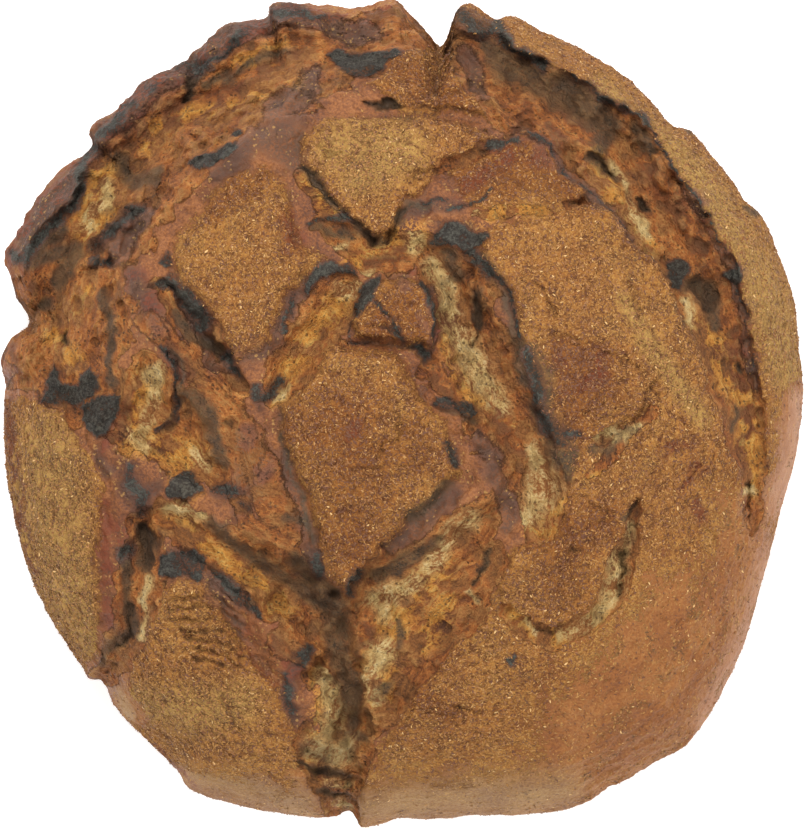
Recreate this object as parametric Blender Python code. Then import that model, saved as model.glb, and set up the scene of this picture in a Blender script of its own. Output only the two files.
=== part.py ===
"""A round country loaf, baked seam side up so that its crust tore into plates.

One solid. A ball is spread over the loaf's smooth skin: a flat base, a belly
and a low dome. The dome is then carved with troughs where the crust tore, with
raised plates of crust between them, and with narrow cracks across the plates.
"""

import math

import bmesh
import bpy
import numpy as np

# Driving sizes, in millimetres
WIDTH = 235.0
DOME_HEIGHT = 91.0
BELLY_HEIGHT = 30.0
BASE_SHARE = 0.80
DOME_POWER = 2.3

# Plan of the loaf: places read from the photograph, in its pixels
WIDTH_IN_PIXELS = 802.0
CENTRE_PIXEL = (402.0, 413.0)
MM_A_PIXEL = WIDTH / WIDTH_IN_PIXELS

# Mesh
BALL_SUBDIVISIONS = 7
BASE_DENSITY = 0.06
BASE_SMOOTHING = (-0.24, -0.12, 0.0, 0.12, 0.24)
KEPT_TRIANGLES = 0.138
PLATE_SOFTNESS = 2.2
CRACK_REACH = 1.6

OUTLINE = (
    (285, 2), (347, 9), (402, 1), (441, 10), (490, 12), (545, 33), (600, 60), (648, 98),
    (690, 130), (730, 178), (760, 214), (783, 268), (797, 345), (801, 420), (780, 505),
    (760, 600), (722, 697), (680, 748), (600, 790), (540, 811), (430, 820), (345, 824),
    (300, 816), (200, 794), (155, 750), (104, 688), (62, 636), (32, 578), (10, 500),
    (3, 420), (3, 350), (14, 300), (7, 262), (40, 197), (82, 157), (96, 128), (128, 95),
    (180, 62), (222, 31), (255, 18),
)

# Places where the outline is split: point on the rim, half width, depth
NOTCHES = {
    "top split": (441, 10, 2.6, 11.0),
    "upper left break": (90, 145, 3.0, 3.0),
    "left break": (12, 320, 4.0, 4.5),
    "lower left crack": (104, 688, 3.0, 3.0),
    "bottom crack": (348, 824, 2.4, 4.5),
}

# Troughs where the crust tore open: points with half width and depth
TROUGHS = {
    "upper left trough": (
        (415, 22, 7, 9), (300, 62, 9, 12), (240, 85, 9, 12), (190, 112, 9, 13),
        (150, 152, 10, 14), (110, 200, 12, 16), (80, 245, 12, 18), (38, 308, 9, 17),
    ),
    "left shelf": ((90, 280, 12, 12), (68, 345, 14, 9), (90, 392, 9, 6)),
    "right trough": (
        (446, 40, 7, 11), (500, 68, 9, 14), (550, 105, 10, 15), (600, 142, 11, 15),
        (642, 192, 11, 15), (680, 250, 11, 15), (712, 302, 10, 13), (738, 362, 8, 10),
        (750, 430, 5, 8), (754, 480, 3.5, 6), (752, 530, 2, 3),
    ),
    "centre tear": (
        (425, 252, 6, 10), (455, 290, 6, 14), (472, 340, 6.5, 16), (492, 392, 7, 15),
        (520, 440, 8, 14), (538, 490, 7, 12), (540, 536, 4, 8),
    ),
    "under arm": ((500, 505, 5, 8), (450, 548, 7, 12), (390, 580, 8, 12), (356, 622, 8, 14)),
    "lower tear": (
        (165, 515, 5, 8), (250, 562, 7, 10), (300, 594, 8, 13), (335, 630, 8, 17),
        (352, 692, 7, 25), (352, 726, 7, 22), (330, 768, 8, 17), (345, 812, 4, 10),
    ),
    "open slope": ((480, 560, 8, 5), (440, 600, 11, 7), (405, 640, 12, 8), (375, 690, 10, 11)),
    "left lens": ((146, 365, 6, 7), (152, 410, 9, 9), (188, 440, 8, 8), (216, 474, 5, 5)),
    "lower left tear": ((150, 520, 6, 14), (136, 580, 6, 12), (130, 640, 5, 9), (106, 676, 4, 7)),
    "under left plate": ((158, 288, 3, 6), (192, 318, 3.5, 7), (216, 348, 4, 8), (250, 396, 4, 6)),
    "golden trough": ((350, 292, 5, 6), (320, 326, 6, 7), (290, 370, 6, 7), (272, 400, 5, 6)),
    "under top plate": ((322, 226, 4, 6), (376, 254, 5, 9), (430, 250, 5, 9)),
}

# Plates of crust: height above the dome, then the corners
PLATES = {
    "outer left lip": (3.0, (
        (405, -40), (404, 8), (350, 26), (300, 28), (262, 40), (228, 52), (206, 84),
        (184, 100), (150, 122), (112, 152), (92, 172), (60, 212), (34, 246), (22, 280),
        (-60, 290), (-60, -60),
    )),
    "outer right skin": (2.5, (
        (448, -40), (450, 30), (500, 42), (540, 62), (585, 88), (625, 114), (655, 144),
        (675, 174), (700, 214), (725, 258), (742, 294), (754, 348), (762, 402),
        (768, 480), (764, 540), (900, 540), (900, -60),
    )),
    "great lower right plate": (3.0, (
        (477, 238), (482, 264), (502, 286), (514, 312), (522, 380), (546, 430), (562, 480),
        (558, 532), (508, 552), (496, 592), (480, 618), (450, 640), (430, 672), (404, 702),
        (388, 734), (360, 770), (353, 820), (356, 900), (900, 900), (900, 540), (752, 534),
        (744, 474), (722, 412), (704, 362), (682, 318), (664, 280), (634, 246), (606, 214),
        (590, 202), (545, 216), (500, 226),
    )),
    "top folds": (1.0, (
        (448, 168), (470, 160), (500, 136), (530, 130), (560, 172), (590, 196), (545, 212),
        (500, 218), (470, 214),
    )),
    "upper plate": (2.0, (
        (366, 88), (396, 56), (430, 44), (455, 66), (478, 100), (492, 120), (440, 116), (400, 112),
    )),
    "top plate": (3.5, (
        (304, 146), (318, 124), (346, 118), (440, 122), (500, 138), (466, 165), (440, 176),
        (406, 205), (392, 236), (374, 240), (352, 228), (334, 198), (304, 166),
    )),
    "left centre plate": (3.5, (
        (178, 262), (182, 240), (205, 212), (232, 180), (262, 168), (282, 185), (292, 215),
        (302, 250), (322, 262), (286, 300), (270, 336), (238, 360), (220, 336), (204, 302),
        (185, 286),
    )),
    "centre plate": (4.5, (
        (283, 405), (300, 395), (335, 345), (400, 355), (416, 395), (442, 420), (462, 470),
        (440, 492), (410, 516), (370, 562), (350, 592), (326, 576), (318, 520), (300, 476),
        (285, 436),
    )),
    "small flap": (3.5, (
        (346, 318), (378, 282), (418, 280), (434, 296), (438, 322), (434, 350), (396, 340),
        (360, 336),
    )),
    "lower left plate": (3.5, (
        (160, 582), (205, 578), (242, 640), (282, 690), (302, 746), (310, 780), (330, 812),
        (330, 900), (100, 900), (20, 760), (108, 700), (112, 688), (140, 650), (158, 604),
    )),
    "left plate": (2.5, (
        (-60, 396), (30, 398), (60, 405), (86, 446), (108, 482), (102, 520), (101, 600),
        (96, 668), (40, 720), (-60, 700),
    )),
}

# Narrow cracks and ridges across the plates: points with half width and depth
CRACKS = {
    "crescent": ((638, 502, 3, 5), (616, 560, 4.2, 9), (600, 602, 4, 8), (560, 632, 4, 6), (506, 604, 3, 5)),
    "right groove": ((598, 440, 2.6, 4), (640, 416, 2.6, 4), (662, 370, 2.2, 3)),
    "flap crack": ((350, 342, 2.2, 5), (410, 346, 2.2, 6), (436, 360, 2.2, 6)),
    "top crease": ((480, 150, 2.2, 3), (440, 172, 2.4, 3), (412, 184, 2, 2)),
    "right plate crack": ((554, 338, 2.4, 2.5), (590, 344, 2.4, 2.5), (640, 376, 2.2, 2.5)),
    "lower left ridges": ((236, 566, 5, -2.5), (270, 630, 5, -2.5), (298, 700, 5, -2.0)),
    "left ridge": ((300, 120, 8, -3), (180, 190, 8, -3), (130, 262, 9, -3), (160, 330, 8, -3), (250, 460, 9, -3), (290, 540, 7, -3)),
    "centre ridge": ((440, 390, 6, -2.5), (486, 440, 7, -2.5), (488, 490, 6, -2.5), (420, 540, 4, -2.5)),
}


def plan(points):
    """Places in the photograph's pixels as x and y in millimetres, further columns kept."""
    table = np.array(points, float)
    table[:, 0] = (table[:, 0] - CENTRE_PIXEL[0]) * MM_A_PIXEL
    table[:, 1] = (CENTRE_PIXEL[1] - table[:, 1]) * MM_A_PIXEL
    return table


def smooth_step(value):
    """0 below 0, 1 above 1, and an easy curve between."""
    value = np.clip(value, 0.0, 1.0)
    return value * value * (3.0 - 2.0 * value)


def rim_radius(angle):
    """Distance from the centre to the rim, as a smooth closed curve through OUTLINE."""
    angle = (angle + math.pi) % (2.0 * math.pi) - math.pi
    rim = plan(OUTLINE)
    angles = np.arctan2(rim[:, 1], rim[:, 0])
    order = np.argsort(angles)
    angles = angles[order]
    radii = np.hypot(rim[order, 0], rim[order, 1])
    count = len(radii)
    after = np.searchsorted(angles, angle)
    low, high = (after - 1) % count, after % count
    span = (angles[high] - angles[low]) % (2.0 * math.pi)
    part = ((angle - angles[low]) % (2.0 * math.pi)) / span
    before, beyond = radii[(low - 1) % count], radii[(high + 1) % count]
    start, end = radii[low], radii[high]
    lean_start, lean_end = (end - before) / 2.0, (beyond - start) / 2.0
    return (
        start * (1.0 + 2.0 * part) * (1.0 - part) ** 2
        + end * part ** 2 * (3.0 - 2.0 * part)
        + lean_start * part * (1.0 - part) ** 2
        - lean_end * part ** 2 * (1.0 - part)
    )


def notch_depth(angle, radius):
    """How far the splits in the rim go in, at each direction from the centre."""
    depth_here = np.zeros(angle.shape)
    for across, down, half_width, depth in NOTCHES.values():
        x, y = plan([(across, down)])[0]
        turn = (angle - math.atan2(y, x) + math.pi) % (2.0 * math.pi) - math.pi
        depth_here = depth_here + depth * np.exp(-((turn * radius / half_width) ** 2))
    return depth_here


def outline_radius(angle, height):
    """The rim's radius, with its bumps and splits fading out towards the base."""
    exact = rim_radius(angle)
    calm = sum(rim_radius(angle + turn) for turn in BASE_SMOOTHING) / len(BASE_SMOOTHING)
    share = smooth_step(height / (0.9 * BELLY_HEIGHT))
    return calm + (exact - calm) * share - notch_depth(angle, exact) * share ** 2


def skin_profile():
    """The loaf's half section from the top down: share of the radius, and height."""
    share = np.sin(np.linspace(0.0, math.pi / 2.0, 200))
    dome = BELLY_HEIGHT + (DOME_HEIGHT - BELLY_HEIGHT) * np.sqrt(1.0 - share ** DOME_POWER)
    turn = np.linspace(0.0, math.pi / 2.0, 60)[1:]
    foot_share = BASE_SHARE + (1.0 - BASE_SHARE) * np.cos(turn)
    foot = BELLY_HEIGHT * (1.0 - np.sin(turn))
    base_share = np.linspace(BASE_SHARE, 0.0, 80)[1:]
    shares = np.concatenate([share, foot_share, base_share])
    heights = np.concatenate([dome, foot, np.zeros(79)])
    return shares, heights


def spread(polar):
    """Where a ball's points go on the profile, so that they lie evenly but sparse on the base."""
    shares, heights = skin_profile()
    radius = WIDTH / 2.0
    steps = np.hypot(np.diff(shares) * radius, np.diff(heights))
    middle = (shares[1:] + shares[:-1]) / 2.0
    on_base = np.maximum(heights[1:], heights[:-1]) <= 0.0
    area = middle * steps * np.where(on_base, BASE_DENSITY, 1.0)
    covered = np.concatenate([[0.0], np.cumsum(area)]) / area.sum()
    place = np.interp((1.0 - np.cos(polar)) / 2.0, covered, np.arange(len(shares)))
    index = np.arange(len(shares))
    return np.interp(place, index, shares), np.interp(place, index, heights)


def distance_inside(x, y, corners):
    """Distance to a closed outline, positive inside it."""
    points = plan(corners)
    nearest = np.full(x.shape, np.inf)
    inside = np.zeros(x.shape, bool)
    for (ax, ay), (bx, by) in zip(points, np.roll(points, -1, axis=0)):
        dx, dy = bx - ax, by - ay
        along = np.clip(((x - ax) * dx + (y - ay) * dy) / (dx * dx + dy * dy), 0.0, 1.0)
        nearest = np.minimum(nearest, np.hypot(x - ax - along * dx, y - ay - along * dy))
        crosses = (ay > y) != (by > y)
        rise = dy if dy != 0.0 else 1.0
        inside ^= crosses & (x < ax + (y - ay) * dx / rise)
    return np.where(inside, nearest, -nearest)


def along_line(x, y, line):
    """Distance to a line, with the half width and depth at the nearest point of it."""
    points = plan(line)
    nearest = np.full(x.shape, np.inf)
    half_width = np.ones(x.shape)
    depth = np.zeros(x.shape)
    for start, end in zip(points[:-1], points[1:]):
        dx, dy = end[0] - start[0], end[1] - start[1]
        along = np.clip(((x - start[0]) * dx + (y - start[1]) * dy) / (dx * dx + dy * dy), 0.0, 1.0)
        distance = np.hypot(x - start[0] - along * dx, y - start[1] - along * dy)
        closer = distance < nearest
        nearest = np.where(closer, distance, nearest)
        half_width = np.where(closer, start[2] + along * (end[2] - start[2]), half_width)
        depth = np.where(closer, start[3] + along * (end[3] - start[3]), depth)
    return nearest, half_width, depth


def unevenness(x, y):
    """Slow waves that keep the crust from looking turned on a wheel."""
    waves = ((0.047, 0.021, 0.4), (-0.030, 0.058, 1.9), (0.085, -0.066, 3.1), (0.110, 0.120, 5.2))
    return sum(np.sin(along * x + across * y + start) for along, across, start in waves) / 2.0


def relief(x, y):
    """Height above the smooth dome, from the troughs, plates, cracks and ridges."""
    trough = np.zeros(x.shape)
    for line in TROUGHS.values():
        distance, half_width, depth = along_line(x, y, line)
        floor = depth * (1.0 - smooth_step((distance / half_width - 0.45) / 0.9))
        trough = np.maximum(trough, floor)
    height = -trough
    for rise, corners in PLATES.values():
        share = smooth_step(distance_inside(x, y, corners) / PLATE_SOFTNESS + 0.5)
        height = height + (rise - height) * share
    for line in CRACKS.values():
        distance, half_width, depth = along_line(x, y, line)
        height = height - depth * (1.0 - smooth_step(distance / (half_width * CRACK_REACH)))
    return height + unevenness(x, y)


def loaf_points(directions):
    """Points of a unit ball moved to the loaf's surface, in millimetres."""
    angle = np.arctan2(directions[:, 1], directions[:, 0])
    polar = np.arccos(np.clip(directions[:, 2], -1.0, 1.0))
    share, height = spread(polar)
    radius = share * outline_radius(angle, height)
    x, y = radius * np.cos(angle), radius * np.sin(angle)
    carved = relief(x, y)
    on_dome = smooth_step((height - BELLY_HEIGHT * 0.5) / (BELLY_HEIGHT * 0.8))
    on_side = smooth_step((share - 0.90) / 0.10) * smooth_step(height / (BELLY_HEIGHT * 0.6))
    height = height + carved * on_dome * (1.0 - 0.75 * on_side)
    outward = 0.35 * carved * on_side * on_dome + 0.5 * on_side * unevenness(1.7 * y, 1.7 * x)
    x = x + outward * np.cos(angle)
    y = y + outward * np.sin(angle)
    return np.column_stack([x, y, np.maximum(height, 0.0)])


def centred(points):
    """The same points with the middle of their box over the origin."""
    middle = (points.max(axis=0) + points.min(axis=0)) / 2.0
    return points - np.array([middle[0], middle[1], points[:, 2].min()])


def crust_material():
    """Baked, bran-dusted crust."""
    material = bpy.data.materials.new("crust")
    material.use_nodes = True
    shader = material.node_tree.nodes["Principled BSDF"]
    shader.inputs["Base Color"].default_value = (0.33, 0.15, 0.055, 1.0)
    shader.inputs["Roughness"].default_value = 0.75
    shader.inputs["Metallic"].default_value = 0.0
    return material


def make_loaf(collection):
    """The loaf as one closed mesh, thinned to the triangles that its relief needs."""
    ball = bmesh.new()
    bmesh.ops.create_icosphere(ball, subdivisions=BALL_SUBDIVISIONS, radius=1.0)
    mesh = bpy.data.meshes.new("loaf")
    ball.to_mesh(mesh)
    ball.free()
    places = np.empty(len(mesh.vertices) * 3)
    mesh.vertices.foreach_get("co", places)
    directions = places.reshape(-1, 3)
    directions = directions / np.linalg.norm(directions, axis=1, keepdims=True)
    points = centred(loaf_points(directions))
    mesh.vertices.foreach_set("co", (points * 0.001).ravel())
    mesh.update()
    mesh.shade_smooth()
    loaf = bpy.data.objects.new("loaf", mesh)
    loaf.data.materials.append(crust_material())
    collection.objects.link(loaf)
    thin = loaf.modifiers.new("fewer triangles", "DECIMATE")
    thin.ratio = KEPT_TRIANGLES
    return loaf


def main():
    for old in list(bpy.data.objects):
        bpy.data.objects.remove(old, do_unlink=True)
    collection = bpy.data.collections.new("bread loaf")
    bpy.context.scene.collection.children.link(collection)
    make_loaf(collection)


main()
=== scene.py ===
"""A round country loaf: bran-dusted plates of crust, torn ochre sides, burnt lips and pale crumb."""

import itertools
import math

import bmesh
import bpy
import numpy as np
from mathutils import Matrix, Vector


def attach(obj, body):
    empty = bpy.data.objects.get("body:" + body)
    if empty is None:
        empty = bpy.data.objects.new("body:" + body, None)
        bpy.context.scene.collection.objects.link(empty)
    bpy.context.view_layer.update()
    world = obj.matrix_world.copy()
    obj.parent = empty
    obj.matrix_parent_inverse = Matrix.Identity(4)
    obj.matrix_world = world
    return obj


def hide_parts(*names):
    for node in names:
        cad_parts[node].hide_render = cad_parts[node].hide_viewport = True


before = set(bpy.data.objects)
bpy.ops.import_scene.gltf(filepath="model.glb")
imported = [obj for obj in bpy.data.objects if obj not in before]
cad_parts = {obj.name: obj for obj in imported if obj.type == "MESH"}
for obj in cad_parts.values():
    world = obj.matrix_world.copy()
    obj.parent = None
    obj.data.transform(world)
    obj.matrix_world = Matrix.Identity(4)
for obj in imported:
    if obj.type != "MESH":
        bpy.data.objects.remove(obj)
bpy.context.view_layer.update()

bl_info = {
    "name": "Country loaf",
    "version": (1, 0, 0),
    "blender": (4, 5, 0),
    "location": "3D View > Sidebar > Loaf",
    "description": "Bakes a round country loaf with a torn, bran-dusted crust, and sets it on a pale floor",
    "category": "Add Mesh",
}

# The loaf's form, in millimetres, as its solid has it
MILLIMETRE = 0.001
WIDTH = 235.0
DOME_HEIGHT = 91.0
BELLY_HEIGHT = 30.0
BASE_SHARE = 0.80
DOME_POWER = 2.3
WIDTH_IN_PIXELS = 802.0
CENTRE_PIXEL = (402.0, 413.0)
MM_A_PIXEL = WIDTH / WIDTH_IN_PIXELS

# How the skin is laid over the form. Turns are in radians, densities are shares of the dome's
BASE_SMOOTHING = (-0.24, -0.12, 0.0, 0.12, 0.24)
SIDE_DENSITY = 0.45
BASE_DENSITY = 0.05
RIM_REACH = 0.30
RIM_JAG = 1.3
LIP_ANGLE = math.radians(124.0)
DEEPEST_NOTCH = 6.0
PLATE_SOFTNESS = 1.7
LEAN_STEP = 0.6
CHAR_FOOT = 31.0
TORN_REACH = 1.9
CRACK_REACH = 1.2
HOLLOW_ROUNDS = 14
MOST_FLAKES = 45000

# Floor and light: metres, watts and shares of full white
FLOOR_REACH = 4.0
FLOOR_DROP = 0.0004
FLOOR_GLOW = 0.55
SKY = 0.74
LAMP_TARGET = (0.0, 0.0, 0.05)
KEY_WATTS = 13.8
KEY_PLACE = (-0.12, 0.65, 1.25)
KEY_SIZE = 0.7
FILL_WATTS = 5.0
FILL_PLACE = (0.8, -0.6, 1.2)
FILL_SIZE = 1.2

# The picture that the camera frames: pixels, metres and millimetres of sensor
PICTURE = (805, 828)
CAMERA_DISTANCE = 5.0
SENSOR = 36.0

# Plan of the loaf: places read from the photograph, in its pixels
OUTLINE = (
    (268, 20), (271, 7), (287, 2), (345, 9), (372, 7), (398, 1), (408, 13), (421, 24),
    (443, 54), (449, 31), (457, 9), (470, 4), (494, 18), (512, 16), (545, 33), (600, 60),
    (621, 73), (640, 90), (672, 126), (690, 130), (705, 148), (736, 188), (744, 201),
    (760, 214), (776, 250), (794, 302), (799, 350), (803, 385), (795, 455), (780, 510),
    (768, 556), (757, 598), (739, 655), (688, 742), (655, 761), (608, 788), (578, 805),
    (532, 815), (480, 815), (430, 819), (398, 818), (362, 827), (354, 815), (343, 813),
    (338, 818), (294, 814), (250, 807), (205, 795), (188, 786), (180, 772), (164, 756),
    (144, 738), (120, 713), (102, 681), (90, 677), (82, 664), (60, 633), (31, 574), (12, 500),
    (5, 430), (6, 384), (1, 362), (5, 347), (14, 336), (25, 327), (26, 314), (19, 298), (16, 285),
    (8, 264), (10, 246), (40, 196), (62, 166), (82, 155), (93, 144), (90, 134), (106, 118), (120, 106),
    (152, 78), (180, 65), (208, 41), (224, 25), (240, 21),
)

# Troughs where the crust tore open: points with half width and depth
TROUGHS = {
    "upper left trough": (
        (415, 22, 5, 6), (300, 62, 9, 11), (240, 85, 9, 11), (190, 112, 9, 12),
        (150, 152, 10, 13), (110, 200, 11, 14), (80, 245, 11, 14), (38, 308, 6, 9),
    ),
    "left shelf": ((90, 280, 9, 9), (68, 345, 13, 8), (90, 392, 7, 5)),
    "right trough": (
        (446, 40, 6, 6), (500, 68, 9, 12), (547, 108, 10, 14), (596, 146, 11, 13),
        (637, 196, 11, 12), (674, 254, 11, 12), (705, 306, 10, 9.5), (729, 364, 8, 6.5),
        (742, 430, 5, 5), (747, 480, 3.5, 4.5), (748, 530, 2, 2),
    ),
    "centre tear": (
        (425, 252, 3.5, 7), (455, 290, 6, 11), (472, 340, 6.5, 10), (492, 392, 7, 10),
        (520, 440, 7, 8), (538, 490, 6, 6), (540, 536, 2.5, 4),
    ),
    "under arm": ((500, 505, 3, 3), (450, 548, 6, 7), (390, 580, 7, 8), (356, 622, 8, 12)),
    "lower tear": (
        (165, 515, 3, 5), (250, 562, 6, 8), (300, 594, 7, 12), (335, 630, 7, 15),
        (350, 692, 5.5, 16), (350, 726, 5.5, 14), (332, 766, 8, 9), (345, 812, 4, 4.5),
    ),
    "open slope": ((480, 560, 5, 3), (440, 600, 10, 4), (405, 640, 12, 5), (375, 690, 8, 8)),
    "left lens": ((146, 362, 2.5, 4), (152, 410, 8, 8), (188, 440, 7, 7), (218, 476, 2.5, 3)),
    "lower left tear": ((148, 522, 3.5, 7), (142, 580, 4.5, 6), (128, 636, 4, 4.5), (104, 676, 2, 2)),
    "under left plate": ((160, 286, 1.5, 2), (192, 318, 3, 3.5), (216, 348, 3, 4), (244, 392, 1.5, 3)),
    "golden trough": ((350, 292, 3.5, 5), (320, 326, 5.5, 6), (290, 370, 5, 6), (274, 398, 2, 3)),
    "under top plate": ((322, 226, 2, 2.5), (376, 254, 4, 5), (424, 250, 2.5, 4)),
}

# Plates of crust: height above the dome, how much bran lies on it, how softly its edge fades
# where it isn't torn, then the corners
PLATES = {
    "outer left lip": (1.8, 0.0, 0.0, (
        (405, -40), (404, 6), (350, 20), (300, 22), (262, 30), (228, 44), (204, 60),
        (182, 76), (150, 98), (112, 138), (94, 168), (60, 212), (34, 246), (22, 280),
        (-60, 290), (-60, -60),
    )),
    "outer right skin": (2.5, 0.75, 2.0, (
        (448, -40), (450, 30), (500, 42), (540, 62), (585, 88), (625, 114), (655, 144),
        (675, 174), (700, 214), (725, 258), (741, 294), (751, 348), (757, 402),
        (761, 480), (758, 540), (900, 540), (900, -60),
    )),
    "great lower right plate": (3.0, 1.0, 3.0, (
        (477, 238), (482, 264), (502, 286), (514, 312), (522, 380), (546, 430), (562, 480),
        (558, 532), (508, 552), (496, 592), (480, 618), (450, 640), (430, 672), (404, 702),
        (388, 734), (360, 770), (353, 820), (356, 900), (900, 900), (900, 540), (752, 534),
        (738, 474), (720, 412), (702, 362), (682, 318), (664, 280), (634, 246), (606, 214),
        (590, 202), (545, 216), (500, 226),
    )),
    "top folds": (1.0, 0.75, 2.0, (
        (448, 168), (470, 160), (500, 136), (530, 130), (560, 172), (590, 196), (545, 212),
        (500, 218), (470, 214),
    )),
    "upper plate": (2.0, 1.0, 3.0, (
        (366, 88), (396, 56), (430, 44), (455, 66), (478, 100), (492, 120), (440, 116), (400, 112),
    )),
    "top plate": (3.5, 1.0, 1.5, (
        (304, 146), (318, 124), (346, 118), (440, 122), (500, 138), (466, 165), (440, 176),
        (406, 205), (392, 236), (374, 240), (352, 228), (334, 198), (304, 166),
    )),
    "left centre plate": (3.5, 1.0, 3.5, (
        (178, 262), (182, 240), (205, 212), (232, 180), (262, 168), (282, 185), (292, 215),
        (302, 250), (322, 262), (286, 300), (270, 336), (238, 360), (220, 336), (204, 302),
        (185, 286),
    )),
    "centre plate": (4.5, 1.0, 2.5, (
        (283, 405), (300, 395), (335, 345), (400, 355), (416, 395), (442, 420), (462, 470),
        (440, 492), (410, 516), (370, 562), (350, 592), (326, 576), (318, 520), (300, 476),
        (285, 436),
    )),
    "small flap": (4.5, 0.9, 0.3, (
        (346, 318), (378, 282), (418, 280), (434, 296), (438, 322), (434, 350), (396, 340),
        (360, 336),
    )),
    "lower left plate": (3.5, 1.0, 3.0, (
        (160, 582), (205, 578), (242, 640), (282, 690), (302, 746), (310, 780), (330, 812),
        (330, 900), (100, 900), (20, 760), (108, 700), (112, 688), (140, 650), (158, 604),
    )),
    "left plate": (2.5, 1.0, 2.0, (
        (-60, 396), (30, 398), (60, 405), (86, 446), (108, 482), (102, 520), (101, 600),
        (96, 668), (40, 720), (-60, 700),
    )),
}

# Narrow cracks and low ridges: points with half width and depth
CRACKS = {
    "crescent": (
        (638, 502, 2.0, 3), (628, 538, 3.4, 4), (616, 574, 4.2, 4), (602, 604, 3.4, 4),
        (580, 624, 2.8, 3), (556, 640, 2.6, 3), (530, 628, 3.0, 3), (504, 608, 2.6, 3),
    ),
    "right groove": ((598, 440, 2.2, 3.2), (634, 418, 2, 2.6), (656, 382, 1.2, 1.2)),
    "flap crack": ((350, 342, 1.0, 2), (410, 346, 1.1, 2.6), (432, 358, 2.2, 3.5)),
    "top crease": ((480, 150, 2.2, 3), (440, 172, 2.4, 3), (412, 184, 2, 2)),
    "right plate crack": ((550, 338, 2, 1.2), (590, 344, 2, 1.2), (620, 360, 1.6, 0.8)),
    "lower left ridges": ((236, 566, 5, -2.5), (270, 630, 5, -2.5), (298, 700, 5, -2.0)),
    "left ridge": (
        (300, 120, 8, -3), (180, 190, 8, -3), (130, 262, 9, -3), (160, 330, 8, -3),
        (250, 460, 9, -3), (290, 540, 7, -3),
    ),
    "centre ridge": ((440, 390, 6, -2.5), (486, 440, 7, -2.5), (488, 490, 6, -2.5), (420, 540, 4, -2.5)),
}

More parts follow.
